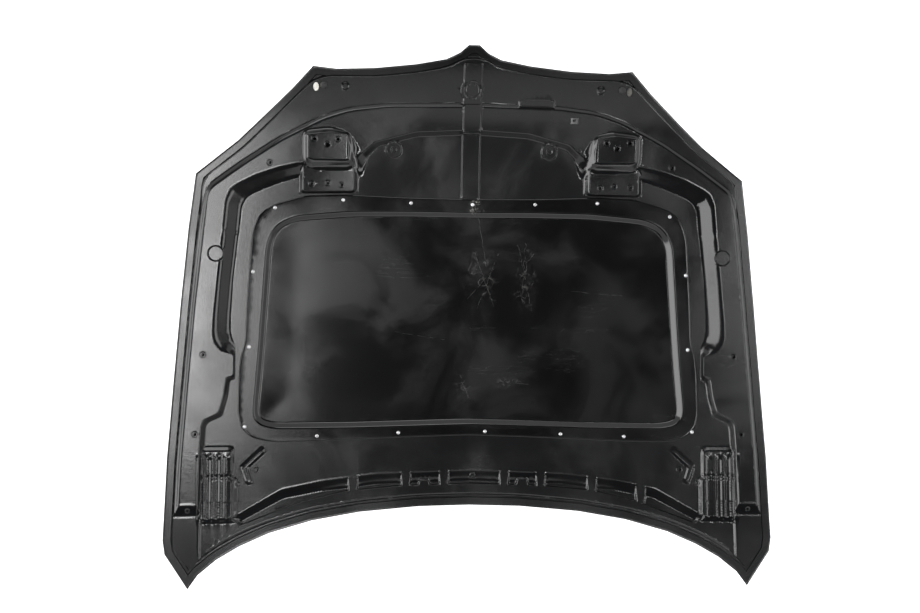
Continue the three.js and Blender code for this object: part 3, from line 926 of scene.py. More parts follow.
    @staticmethod
    def make_stroke() -> bpy.types.ShaderNodeTree:
        """Makes one scratch between two points of the plan, slightly wavering."""
        group = new_group(
            "single_scratch",
            [("Vector", "NodeSocketVector", (0, 0, 0)), ("From", "NodeSocketVector", (0, 0, 0)),
             ("To", "NodeSocketVector", (1, 0, 0)), ("Width", "NodeSocketFloat", 0.001),
             ("Waver", "NodeSocketFloat", 0.01)],
            [("Mask", "NodeSocketFloat")])
        w = Wiring(group)
        start, end = w.ends()
        texture = w.node("ShaderNodeTexNoise")
        w.put(texture.inputs["Vector"], start.outputs["Vector"])
        texture.inputs["Scale"].default_value = 26.0
        texture.inputs["Detail"].default_value = 3.0
        shift = w.vector("SUBTRACT", texture.outputs["Color"], (0.5, 0.5, 0.5)).outputs[0]
        shift = w.vector("SCALE", shift, start.outputs["Waver"]).outputs[0]
        moved = w.vector("ADD", start.outputs["Vector"], shift).outputs[0]
        plan = w.vector("MULTIPLY", moved, (1, 1, 0)).outputs[0]
        reach = w.vector("SUBTRACT", start.outputs["To"], start.outputs["From"]).outputs[0]
        away = w.vector("SUBTRACT", plan, start.outputs["From"]).outputs[0]
        dot = w.vector("DOT_PRODUCT", away, reach).outputs["Value"]
        size = w.vector("DOT_PRODUCT", reach, reach).outputs["Value"]
        foot = w.vector("SCALE", reach, w.maths("DIVIDE", dot, size, True)).outputs[0]
        gap = w.vector("DISTANCE", away, foot).outputs["Value"]
        broken = w.span(w.noise(start.outputs["Vector"], 90.0, 4.0, 0.7), 0.4, 0.58)
        line = w.span(gap, 0.0, start.outputs["Width"], 1.0, 0.0)
        w.put(end.inputs["Mask"], w.maths("MULTIPLY", line, broken, True))
        return group

    @staticmethod
    def make_smear() -> bpy.types.ShaderNodeTree:
        """Makes one soft scuffed area around a point of the plan."""
        group = new_group(
            "scuffed_area",
            [("Vector", "NodeSocketVector", (0, 0, 0)), ("Middle", "NodeSocketVector", (0, 0, 0)),
             ("Stretch", "NodeSocketVector", (1, 1, 0)), ("Grain", "NodeSocketFloat", 60.0)],
            [("Mask", "NodeSocketFloat")])
        w = Wiring(group)
        start, end = w.ends()
        away = w.vector("SUBTRACT", start.outputs["Vector"], start.outputs["Middle"]).outputs[0]
        away = w.vector("MULTIPLY", away, start.outputs["Stretch"]).outputs[0]
        near = w.span(w.vector("LENGTH", away).outputs["Value"], 0.2, 1.0, 1.0, 0.0)
        broken = w.noise(start.outputs["Vector"], 60.0, 7.0, 0.75, 1.2)
        w.put(broken.node.inputs["Scale"], start.outputs["Grain"])
        w.put(end.inputs["Mask"], w.maths("MULTIPLY", near, w.span(broken, 0.5, 0.68), True))
        return group


# Finishes


@dataclass(frozen=True)
class Mark:
    """One scratch on a moulding, between two points in millimetres."""

    start: Point
    end: Point
    width: float = 1.2
    waver: float = 8.0


@dataclass(frozen=True)
class Scuff:
    """One scuffed area on a moulding, in millimetres."""

    middle: Point
    reach: Point
    grain: float = 60.0
    strength: float = 1.0

    def mask(self, w: Wiring, effects: Effects, at: bpy.types.NodeSocket) -> bpy.types.NodeSocket:
        """Adds the area's mask to a material.

        Args:
            w: The material's wiring.
            effects: The shared node groups.
            at: The coordinates.

        Returns:
            The mask.
        """
        made = w.group(effects.smear, Vector=at, Middle=(*[v * MM for v in self.middle], 0),
                       Stretch=(*[1 / (v * MM) for v in self.reach], 0), Grain=self.grain)
        return w.maths("MULTIPLY", made.outputs[0], self.strength)


@dataclass(frozen=True)
class Gelcoat:
    """Black gelcoat over glass fibre, with dust, rubbed edges, scratches and chips."""

    name: str
    black: Colour = (0.0055, 0.0056, 0.0062)
    rough: float = 0.3
    dust_colour: Colour = (0.20, 0.19, 0.17)
    dust: float = 0.3
    wear: float = 0.4
    scratching: float = 0.4
    weave: float = 0.2
    bump: float = 0.16
    bump_depth: float = 0.0002
    worn: Colour = (0.12, 0.12, 0.118)
    scratched: Colour = (0.26, 0.25, 0.235)
    bare: Colour = (0.62, 0.6, 0.56)
    marks: Tuple[Mark, ...] = ()
    scuffs: Tuple[Scuff, ...] = ()
    chips: Tuple[Scuff, ...] = ()

    def build(self, effects: Effects) -> bpy.types.Material:
        """Makes the material.

        Args:
            effects: The shared node groups.

        Returns:
            The material.
        """
        material, w = new_material(self.name)
        at = w.node("ShaderNodeTexCoord").outputs["Object"]
        edge = w.node("ShaderNodeAttribute", attribute_name="edge").outputs["Fac"]
        hollow = w.node("ShaderNodeAttribute", attribute_name="hollow").outputs["Fac"]
        mottle = w.group(effects.mottle, Vector=at, Scale=5.0)
        scratch = w.group(effects.scratches, Vector=at, Amount=self.scratching).outputs[0]
        dust = w.group(effects.dust, Vector=at, Hollow=hollow, Amount=self.dust).outputs[0]
        wear = w.group(effects.wear, Vector=at, Edge=edge, Amount=self.wear).outputs[0]
        for mark in self.marks:
            made = w.group(effects.stroke, Vector=at, From=(*[v * MM for v in mark.start], 0),
                           To=(*[v * MM for v in mark.end], 0), Width=mark.width * MM,
                           Waver=mark.waver * MM)
            scratch = w.maths("MAXIMUM", scratch, made.outputs[0])
        for scuff in self.scuffs:
            dust = w.maths("MAXIMUM", dust, scuff.mask(w, effects, at))
        bare: object = 0.0
        for chip in self.chips:
            bare = w.maths("MAXIMUM", bare, chip.mask(w, effects, at))
        lighter = tuple(c * 1.5 for c in self.black)
        colour = w.mix(mottle.outputs["Patches"], self.black, lighter)
        colour = w.mix(w.maths("MULTIPLY", dust, 0.28), colour, self.dust_colour)
        colour = w.mix(w.maths("MULTIPLY", wear, 0.3), colour, self.worn)
        colour = w.mix(w.maths("MULTIPLY", scratch, 0.16), colour, self.scratched)
        colour = w.mix(bare, colour, self.bare)
        rough = w.span(mottle.outputs["Patches"], 0.0, 1.0, self.rough - 0.02, self.rough + 0.04)
        rough = w.maths("ADD", rough, w.maths("MULTIPLY", dust, 0.25))
        rough = w.maths("ADD", rough, w.maths("MULTIPLY", wear, 0.12), True)
        height = w.group(effects.peel, Vector=at, Weave=self.weave).outputs[0]
        height = w.maths("SUBTRACT", height, w.maths("MULTIPLY", scratch, 0.45))
        shader = w.shade(colour, rough, height, self.bump, self.bump_depth)
        shader.inputs["IOR"].default_value = 1.5
        return material


@dataclass(frozen=True)
class Plain:
    """A metal, rubber or paste finish with its own grain."""

    name: str
    light: Colour
    dark: Colour
    rough: float
    metallic: float
    grain: float
    bump: float = 0.3
    bump_depth: float = 0.0003
    dust: float = 0.2
    dust_colour: Colour = (0.2, 0.19, 0.17)
    stretch: Tuple[float, float, float] = (1.0, 1.0, 1.0)

    def build(self, effects: Effects) -> bpy.types.Material:
        """Makes the material.

        Args:
            effects: The shared node groups.

        Returns:
            The material.
        """
        material, w = new_material(self.name)
        at = w.node("ShaderNodeTexCoord").outputs["Object"]
        spin = w.node("ShaderNodeMapping")
        w.put(spin.inputs["Vector"], at)
        spin.inputs["Scale"].default_value = self.stretch
        mottle = w.group(effects.mottle, Vector=at, Scale=60.0)
        scratch = w.group(effects.scratches, Vector=at, Amount=0.5).outputs[0]
        dust = w.group(effects.dust, Vector=at, Hollow=0.0, Amount=self.dust).outputs[0]
        grain = w.noise(spin.outputs[0], self.grain, 5.0, 0.6)
        colour = w.mix(mottle.outputs["Patches"], self.light, self.dark)
        colour = w.mix(w.span(grain, 0.35, 0.7, 0.0, 0.35), colour, self.dark)
        colour = w.mix(w.maths("MULTIPLY", dust, 0.4), colour, self.dust_colour)
        rough = w.span(grain, 0.25, 0.75, self.rough - 0.08, self.rough + 0.1)
        rough = w.maths("ADD", rough, w.maths("MULTIPLY", dust, 0.3), True)
        height = w.maths("SUBTRACT", grain, scratch)
        shader = w.shade(colour, rough, height, self.bump, self.bump_depth)
        shader.inputs["Metallic"].default_value = self.metallic
        return material


PLAIN_FINISHES = (
    Plain("rivet_aluminium", (0.86, 0.86, 0.87), (0.55, 0.55, 0.56), 0.36, 1.0, 300, dust=0.3),
    Plain("buffer_rubber", (0.02, 0.02, 0.02), (0.012, 0.012, 0.012), 0.62, 0.0, 500, dust=0.3),
    Plain("bonding_paste", (0.86, 0.85, 0.8), (0.7, 0.68, 0.62), 0.6, 0.0, 260, bump=0.8),
    # Dark paste colour, used for every paste except the left-hand one.
    Plain("dark_paste", (0.12, 0.115, 0.1), (0.03, 0.03, 0.028), 0.65, 0.0, 160, bump=0.8),
    Plain("plate_steel", (0.5, 0.5, 0.52), (0.34, 0.34, 0.36), 0.42, 1.0, 160,
          stretch=(1, 12, 1)),
    Plain("clip_zinc", (0.16, 0.16, 0.16), (0.08, 0.08, 0.08), 0.4, 1.0, 260),
)


# Shapes shared by the mouldings, right half, in millimetres

OUTLINE = Outline.mirrored([
    (0, 644), (13, 644), (34, 626), (66, 611), (137, 598), (236, 587), (327, 583), (382, 588),
    (430, 536), (484, 483), (557, 412), (606, 372), (656, 331), (673, 200), (690, 24), (705, -160),
    (718, -340), (725, -530), (720, -562), (666, -644), (643, -612), (601, -578), (548, -548),
    (480, -519), (379, -491), (265, -472), (122, -460), (0, -457)])
INTERIOR = Outline.mirrored([
    (0, 612), (30, 598), (66, 580), (137, 566), (236, 555), (330, 551), (370, 555), (408, 514),
    (462, 460), (534, 389), (583, 350), (625, 315), (641, 198), (658, 24), (673, -160),
    (686, -338), (693, -528), (690, -549), (664, -588), (621, -553), (564, -520), (492, -490),
    (387, -460), (270, -441), (124, -428), (0, -425)])
FRONT_TOP = Outline.mirrored([
    (0, 610), (30, 606), (60, 588), (137, 574), (236, 563), (350, 562), (386, 548), (466, 468),
    (541, 394), (596, 350), (638, 318), (640, 200), (0, 200)])
RIDGE = [(0, 497), (197, 493), (290, 482), (353, 462), (453, 411), (545, 350), (625, 290)]
BAND_TOP = [
    (412, 363), (463, 351), (515, 333), (557, 311), (575, 298), (586, 271), (591, 218), (597, 159),
    (605, 80), (613, -4), (615, -46), (611, -67), (596, -86), (566, -96)]
BAND_FOOT = [
    (412, 326), (463, 310), (515, 288), (533, 278), (540, 268), (548, 252), (553, 199), (560, 140),
    (567, 81), (572, -4), (572, -38), (568, -56), (565, -66), (561, -76)]
NOTCH_TOP = [
    (566, -144), (583, -148), (589, -194), (600, -232), (634, -248), (640, -262), (643, -310),
    (647, -485), (650, -700)]
NOTCH_FOOT = [
    (561, -157), (572, -158), (577, -198), (589, -243), (621, -257), (627, -266), (630, -311),
    (634, -485), (637, -700)]
LEDGE_TOP = [(0, 447), (137, 440), (237, 413), (262, 390), (300, 371)]
LEDGE_FOOT = [(0, 434), (132, 427), (226, 402), (248, 380), (262, 330)]
FLANGE_INNER = Outline.mirrored([
    (0, 251), (150, 252), (290, 250), (420, 238), (455, 224), (477, 204), (492, 168), (502, 20),
    (510, -100), (521, -232), (514, -254), (496, -267), (465, -273), (283, -272), (0, -264)])
FLANGE_OUTER = Outline.mirrored([
    (0, 281), (155, 283), (309, 288), (400, 284), (473, 262), (502, 243), (517, 218), (526, 185),
    (536, 30), (539, -65), (549, -100), (553, -140), (555, -235), (550, -266), (524, -293),
    (480, -304), (370, -303), (228, -297), (0, -289)])
LATCH_HOLES = ((378, 416, 4), (347, 404, 6), (322, 416, 4), (384, 312, 4), (345, 314, 4),
               (312, 310, 4))
PAD_HOLES = ((482, 359, 4), (636, -96, 4), (653, -283, 4), (509, -370, 4))
BUFFER_PLACE = (357, 543)
RECESS_POSTS = (-280, -153, -61, 85, 174, 298, 416)
RECESS_BUMPS = ((-109, -404), (129, -400))
RIM_WIDTH = 18.0
RIVET_HOLE = 2.6
RIVET_PLACES = [
    (-470, 254), (-308, 275), (-145, 270), (4, 268), (156, 270), (307, 274), (483, 243),
    (524, 101), (530, -80), (540, -279), (376, -291), (222, -286), (38, -280), (-172, -283),
    (-367, -290), (-538, -267), (-529, -78), (-521, 101)]


@dataclass
class OuterSkin:
    """The outer skin: a smooth crowned shell with a thick rim turned up all round."""

    crown: Crown
    level: float = 2.5
    rim_level: float = 7.0
    lip_fall: float = 1.4
    under_lift: float = 1.2

    def build(self) -> bpy.types.Object:
        """Builds the skin.

        Returns:
            Its object.
        """
        rim = Step("rim", Act.SINK, OUTLINE.grown(-RIM_WIDTH), OUTLINE.grown(-RIM_WIDTH - 1),
                   self.level, self.rim_level, rows=(-0.6, 0.0, 1.0, 1.6))
        sheet = Sheet("outer_skin_dressed", self.crown, OUTLINE, [], [rim], self.rim_level,
                      self.level, cell=16.0, spacing=7.0)

        def rounded_lip(x: Array, y: Array) -> Array:
            """Lets the rim's outer edge fall away."""
            return -self.lip_fall * np.clip(1 + OUTLINE.distance(x, y) / 2.4, 0, 1) ** 2

        sheet.extra = rounded_lip
        made = sheet.build()
        self.flatten_under(made)
        return made

    def flatten_under(self, made: bpy.types.Object) -> None:
        """Brings the shell's outer face down to the smooth outer surface.

        Args:
            made: The skin's object.
        """
        mesh = made.data
        count = len(mesh.vertices)
        points = np.zeros(count * 3)
        mesh.vertices.foreach_get("co", points)
        points = points.reshape(-1, 3)
        half = count // 2
        x, y = points[half:, 0] / MM, points[half:, 1] / MM
        lift = self.under_lift * np.clip(1 + OUTLINE.distance(x, y) / 3.0, 0, 1) ** 2
        points[half:, 2] = (self.crown.height(x, y) + lift) * MM
        mesh.vertices.foreach_set("co", points.ravel())
        mesh.update()

    def dress(self, made: bpy.types.Object, effects: Effects) -> None:
        """Gives the skin its finish."""
        finish = Gelcoat("skin_gelcoat", black=(0.0035, 0.0036, 0.004), rough=0.16, dust=0.12,
                         wear=0.3, scratching=0.5, weave=0.1)
        made.data.materials.append(finish.build(effects))


@dataclass
class InnerPanel:
    """The relief inner panel bonded into the skin."""

    crown: Crown
    thickness: float = 2.5
    bond: float = 5.3
    low: float = 14.0
    front: float = 22.0
    pad: float = 30.0
    latch_upper: float = 44.0
    latch_lower: float = 28.0
    recess: float = 6.2
    rib: float = 5.0
    shelf_drop: float = 9.0
    corner_drop: float = 11.0
    pad_inset: float = 36.0
    clear: float = 0.3

    def pad_top(self, wider: float = 0.0) -> Outline:
        """Gives an outline of the raised pads that frame the panel.

        Args:
            wider: How far it lies outside their top edge.

        Returns:
            The outline.
        """
        side = [p for p in OUTLINE.grown(wider - self.pad_inset).points
                if p[0] > 650 and p[1] < 290]
        side.sort(key=lambda p: -p[1])
        ridge = [(x + wider * 0.55 * min(1, x / 250), y + wider * 1.15) for x, y in RIDGE]
        inside = [(620, -540 - wider), (540, -480), (540, 0), (0, 0)]
        return Outline.mirrored([*ridge, *side, *inside])

    def main_steps(self) -> List[Step]:
        """Returns the large forms: rear and side levels, front zone, pads and side pockets."""
        pocket_top = Outline.mirrored([*LEDGE_TOP, *BAND_TOP, *NOTCH_TOP, (0, -700)])
        pocket_foot = Outline.mirrored([*LEDGE_FOOT, *BAND_FOOT, *NOTCH_FOOT, (0, -700)])
        tab = Outline.box(112, 470, 194, 516)
        ledge = self.pad - self.shelf_drop
        return [
            Step("interior", Act.RAISE, INTERIOR.rounded(30), INTERIOR.grown(9).rounded(34),
                 self.low, self.bond),
            Step("front", Act.RAISE, FRONT_TOP.rounded(30), FRONT_TOP.grown(9).rounded(34),
                 self.front, self.bond),
            Step("shelf", Act.RAISE, self.pad_top(9).rounded(20), self.pad_top(13.5).rounded(24),
                 ledge, self.bond),
            Step("pad", Act.RAISE, self.pad_top().rounded(20), self.pad_top(13).rounded(24),
                 self.pad, ledge, ease=0.4),
            Step("pad_fall", Act.SINK, Outline.box(-800, -720, 800, -444),
                 Outline.box(-790, -710, 790, -478), self.pad - self.corner_drop, self.pad,
                 ease=0.3),
            Step("tab", Act.RAISE, tab.rounded(8), tab.grown(4).rounded(9), self.pad - 3,
                 self.front),
            Step("pocket", Act.SINK, pocket_top.rounded(6), pocket_foot.rounded(6), self.low,
                 self.pad, ease=0.2),
        ]

    def paired_steps(self) -> List[Step]:
        """Returns the forms that both halves have, for the right half."""
        low, pad = self.low, self.pad
        oval, ring = Outline.oval, self.round_form
        upper_top = Outline.of([(300, 428), (300, 370), (392, 371), (392, 425), (345, 431)])
        upper_foot = Outline.of([(262, 420), (262, 337), (412, 326), (413, 444), (330, 452)])
        lower_top = Outline.of([(287, 358), (286, 297), (403, 295), (403, 352)])
        lower_foot = Outline.of([(271, 362), (272, 292), (415, 288), (414, 360)])
        diagonal = Outline.of([(498, -322), (541, -362), (528, -398), (524, -397), (535, -363),
                               (495, -326)])
        steps = [
            Step("latch_lower", Act.RAISE, lower_top.rounded(4), lower_foot.rounded(5),
                 self.latch_lower, low, flat_at=(345, 318)),
            Step("latch_upper", Act.RAISE, upper_top.rounded(5), upper_foot.rounded(6),
                 self.latch_upper, low, flat_at=(347, 398)),
            Step("hinge_front", Act.RAISE, Outline.box(567, -392, 634, -325).rounded(10),
                 Outline.box(560, -392, 642, -311).rounded(12), 20, low),
            Step("hinge_rear", Act.RAISE, Outline.box(566, -478, 638, -392).rounded(8),
                 Outline.box(551, -496, 654, -384).rounded(14), 21, low, ease=0.45),
            Step("diagonal", Act.ADD, diagonal, diagonal.grown(8).rounded(6), 3.2, 0, ease=0.4),
            ring("round_boss", (188, 397), 17, 21, 4),
            ring("boss_eye", (188, 397), 5, 8, -2.5),
            Step("circle", Act.SINK, oval(608, 143, 20, 20), oval(608, 143, 16, 16), pad - 6, pad),
        ]
        for x, deep in ((579, 2.0), (602, 2.8), (623, 2.8), (641, 2.0)):
            steps.append(Step("hinge_groove", Act.ADD, Outline.box(x - 2, -478, x + 2, -340),
                              Outline.box(x - 9, -545, x + 9, -326), -deep, 0, ease=0.45))
        steps.append(Step("hinge_line", Act.ADD, Outline.box(566, -386, 636, -384),
                          Outline.box(560, -394, 642, -378), 1.2, 0, ease=0.45))
        steps += [ring("hole_collar", (x, y), 5.6, 8.4, 1.0, 18)
                  for x, y, _ in (*PAD_HOLES, *LATCH_HOLES)]
        steps += [ring("dimple", at, 3, 6.5, -1.6, 14)
                  for at in ((668, -461), (552, -402), (441, -447))]
        steps.append(ring("front_dimple", (306, 542), 5, 11, -2.0, 18))
        return steps

    @staticmethod
    def round_form(name: str, at: Point, top: float, foot: float, change: float,
                   sides: int = 28) -> Step:
        """Gives a round form that raises or lowers what lies under it.

        Args:
            name: Its name.
            at: Its middle.
            top: Radius of its top.
            foot: Radius of its foot.
            change: How far it raises the levels, negative where it lowers them.
            sides: Number of its corners.

        Returns:
            The form.
        """
        return Step(name, Act.ADD, Outline.oval(*at, top, top, sides),
                    Outline.oval(*at, foot, foot, sides), change, 0)

    def middle_steps(self) -> List[Step]:
        """Returns the forms on and around the middle line."""
        steps = []
        for y1, y0, level in ((600, 488, self.front), (504, 440, self.pad), (450, 284, self.low)):
            steps.append(Step("rib", Act.RAISE, Outline.box(-22, y0, 18, y1),
                              Outline.box(-25, y0, 21, y1), level + self.rib, level,
                              rows=(-0.3, 0.0, 0.2, 0.5, 0.8, 1.0, 1.3)))
        steps.append(Step("badge_seat", Act.RAISE, Outline.oval(-3, 538, 26, 26),
                          Outline.oval(-3, 538, 29, 29), self.front + self.rib, self.front))
        steps.append(self.round_form("badge_groove", (-3, 538), 19.5, 21.5, -1.2))
        steps.append(self.round_form("badge_floor", (-3, 538), 14, 16, 1.2))
        front = [(569, -482), (448, -413), (354, -394), (226, -378), (0, -371)]
        rear = [(0, -406), (177, -412), (301, -423), (399, -446), (546, -499)]
        foot_front = [(546, -491), (448, -441), (354, -423), (226, -407), (0, -399)]
        foot_rear = [(0, -402), (177, -408), (301, -419), (399, -442), (540, -495)]
        band = Outline.mirrored([*reversed(front), *reversed(rear)])
        foot = Outline.mirrored([*reversed(foot_front), *reversed(foot_rear)])
        steps.append(Step("recess", Act.SINK, band, foot, self.recess, self.low, ease=0.12))
        for x in RECESS_POSTS:
            y0, y1 = self.recess_upper(x) + 8, self.recess_lower(x) + 4
            post = Outline.of([(x - 12, y0 + 8), (x + 12, y0 + 8), (x + 7, y1 - 10),
                               (x - 7, y1 - 10)])
            steps.append(Step("post", Act.RAISE, post.rounded(3), post.grown(6).rounded(6),
                              self.low - 0.1, self.recess, ease=0.4))
        for x, y in RECESS_BUMPS:
            bump = Outline.of([(x - 14, y - 14), (x + 14, y - 14), (x + 9, y + 5), (x - 9, y + 5)])
            steps.append(Step("recess_bump", Act.RAISE, bump.rounded(4), bump.grown(6).rounded(6),
                              self.low, self.recess, ease=0.4))
        steps.append(self.round_form("rear_eye", (8, -386), 5, 8, 1.6, 16))
        return steps

    @staticmethod
    def recess_upper(x: float) -> float:
        """Returns where the rear recess starts at a distance across."""
        return -372 - 26 * (abs(x - 8) / 350) ** 2.2

    @staticmethod
    def recess_lower(x: float) -> float:
        """Returns where the rear recess ends at a distance across."""
        return -405 - 27 * (abs(x - 8) / 350) ** 2.6

    def holes(self) -> List[Outline]:
        """Returns the panel's openings."""
        result = [FLANGE_INNER.grown(5)]
        for sign in (1, -1):
            for x, y, r in (*LATCH_HOLES, *PAD_HOLES, (*BUFFER_PLACE, 4.4)):
                result.append(Outline.oval(sign * x, y, r, r, 16))
            result.append(Outline.oval(sign * 375, 539, 7.5, 11, 20))
        for x, y in RIVET_PLACES:
            result.append(Outline.oval(x, y, RIVET_HOLE, RIVET_HOLE, 10))
        return result

    def build(self) -> bpy.types.Object:
        """Builds the panel.

        Returns:
            Its object.
        """
        steps = self.main_steps()
        for step in self.paired_steps():
            steps.append(step)
            flat = (-step.flat_at[0], step.flat_at[1]) if step.flat_at else None
            steps.append(Step(step.name, step.act, step.top.flipped(), step.foot.flipped(),
                              step.level, step.base, flat, step.ease, step.rows))
        steps += self.middle_steps()
        edge = OUTLINE.grown(-RIM_WIDTH - 1 - self.clear)
        sheet = Sheet("inner_panel_dressed", self.crown, edge, self.holes(), steps, self.bond,
                      self.thickness, cell=11.0, spacing=6.5, waviness=0.12, seed=4)
        return sheet.build()

    def dress(self, made: bpy.types.Object, effects: Effects) -> None:
        """Gives the panel its finish."""
        finish = Gelcoat("panel_gelcoat", black=(0.0045, 0.0046, 0.005), rough=0.12, dust=0.13,
                         wear=0.12, scratching=0.3)
        made.data.materials.append(finish.build(effects))


@dataclass
class CentreTray:
    """The dished tray riveted over the panel's cut-out."""

    crown: Crown
    thickness: float = 2.5
    floor_level: float = 5.5
    flange_level: float = 16.8
    wall_run: float = 16.0
    bow: float = 0.8
    edge_fall: float = 1.5

    def build(self) -> bpy.types.Object:
        """Builds the tray.

        Returns:
            Its object.
        """
        floor = FLANGE_INNER.grown(-self.wall_run)
        dish = Step("dish", Act.SINK, FLANGE_INNER.rounded(20), floor.rounded(26),
                    self.floor_level, self.flange_level, ease=0.3)
        holes = [Outline.oval(x, y, RIVET_HOLE, RIVET_HOLE, 10) for x, y in RIVET_PLACES]
        outer, inner = FLANGE_OUTER.rounded(16), FLANGE_INNER.rounded(20)
        sheet = Sheet("centre_tray_dressed", self.crown, outer, holes, [dish],
                      self.flange_level, self.thickness, cell=11.0, spacing=6.0, waviness=0.08,
                      seed=9)

        def rolled(x: Array, y: Array) -> Array:
            """Rolls the flange's edge down and curves the floor a little more than the skin."""
            inward = np.clip(-outer.distance(x, y), 0, 60)
            depth = np.clip(-inner.distance(x, y) / 90, 0, 1)
            depth = depth * depth * (3 - 2 * depth)
            bow = self.bow * (np.clip(np.abs(x) / 470, 0, 1) ** 2 + 0.5 * (y / 250) ** 2)
            return bow * depth - self.edge_fall * np.clip(1 - inward / 3.2, 0, 1) ** 2

        sheet.extra = rolled
        return sheet.build()

    def dress(self, made: bpy.types.Object, effects: Effects) -> None:
        """Gives the tray its finish, with the scratches that it has collected."""
        marks = (
            Mark((12, 150), (60, 20)), Mark((70, 150), (20, 20)), Mark((20, 240), (40, 120), 0.9),
            Mark((60, 115), (-5, 40), 0.8), Mark((118, 175), (150, 10), 0.8, 26),
            Mark((140, 190), (128, 60), 0.8, 30), Mark((155, 150), (122, 90), 0.7, 34),
            Mark((-20, -150), (-2, -200), 0.9, 20), Mark((90, -160), (150, -170), 0.9, 14),
            Mark((250, 60), (380, 50), 0.8, 6), Mark((-180, -40), (-60, -60), 0.6, 6),
        )
        scuffs = (
            Scuff((12, 250), (26, 22), 120, 1.0), Scuff((30, 90), (60, 120), 40, 0.35),
            Scuff((135, 90), (45, 110), 70, 0.4), Scuff((-10, -170), (40, 60), 60, 0.4),
            Scuff((100, -165), (60, 20), 80, 0.4),
        )
        chips = (Scuff((10, 272), (18, 9), 260), Scuff((6, 255), (14, 12), 300))
        finish = Gelcoat("tray_gelcoat", black=(0.0022, 0.0022, 0.0025), rough=0.1, dust=0.07,
                         wear=0.3, scratching=0.6, weave=0.12, marks=marks, scuffs=scuffs,
                         chips=chips)
        made.data.materials.append(finish.build(effects))


def turned_piece(name: str, profile: Sequence[Point], frame: Matrix, sides: int = 28
                 ) -> bpy.types.Object:
    """Turns a profile round its own axis.

    Args:
        name: The piece's name.
        profile: Radius and height pairs in millimetres, from the bottom up.
        frame: Where it stands, in millimetres.
        sides: Number of sides.

    Returns:
        The piece, linked to the scene.
    """
    shape = bmesh.new()
    rings = []
    for radius, height in profile:
        if radius < 1e-6:
            rings.append([shape.verts.new(frame @ Vector((0, 0, height)) * MM)])
            continue
        ring = []
        for i in range(sides):
            turn = 2 * math.pi * i / sides
            at = Vector((radius * math.cos(turn), radius * math.sin(turn), height))
            ring.append(shape.verts.new((frame @ at) * MM))
        rings.append(ring)
    for low, high in zip(rings, rings[1:]):
        for i in range(sides):
            j = (i + 1) % sides
            corners = [low[i % len(low)], low[j % len(low)], high[j % len(high)],
                       high[i % len(high)]]
            unique = list(dict.fromkeys(corners))
            if len(unique) > 2:
                shape.faces.new(unique)
    mesh = bpy.data.meshes.new(name)
    shape.to_mesh(mesh)
    shape.free()
    mesh.shade_smooth()
    mesh.set_sharp_from_angle(angle=math.radians(50))
    made = bpy.data.objects.new(name, mesh)
    bpy.context.scene.collection.objects.link(made)
    return made


def square_to(crown: Crown, at: Point, level: float) -> Matrix:
    """Makes a frame square to the crown.

    Args:
        crown: The bonnet's crown.
        at: Place in the plan.
        level: Height over the crown.

    Returns:
        The frame, in millimetres.
    """
    sx, sy = crown.slope(*at)
    up = Vector((-sx, -sy, 1)).normalized()
    height = float(crown.height(np.array([at[0]]), np.array([at[1]]))[0]) + level
    turn = Vector((0, 0, 1)).rotation_difference(up).to_matrix().to_4x4()
    return Matrix.Translation((at[0], at[1], height)) @ turn


@dataclass
class Fittings:
    """The small turned pieces: the rivets and the rubber buffers."""

    crown: Crown
    head: float = 4.3

    def rivets(self) -> List[Tuple[bpy.types.Object, str]]:
        """Builds the eighteen blind rivets.

        Returns:
            Each rivet and the solid that it stands for.
        """
        made = []
        for index, at in enumerate(RIVET_PLACES, 1):
            r = self.head
            profile = [(2.2, -6), (2.2, 0.1), (r * 0.97, 0.1), (r, 0.5), (r * 0.93, 1.1),
                       (r * 0.72, 1.8), (r * 0.45, 2.25), (r * 0.28, 2.3), (r * 0.24, 1.3),
                       (0, 1.2)]
            piece = turned_piece(f"rivet_{index:02d}", profile, square_to(self.crown, at, 16.9))
            made.append((piece, f"tray_rivet_{index:02d}"))
        return made

    def buffer(self, side: Side) -> bpy.types.Object:
        """Builds one domed rubber buffer."""
        at = (side.value * BUFFER_PLACE[0], BUFFER_PLACE[1])
        profile = [(4, -5), (4, 0.4), (8.8, 0.4), (9, 1.2), (8.6, 2.2), (8.9, 3.4), (8.5, 5.6),
                   (7.4, 7.4), (5.4, 8.5), (2.8, 8.9), (0, 8.9)]
        name = f"corner_buffer_{side.name.lower()}"
        return turned_piece(name, profile, square_to(self.crown, at, 22.0))


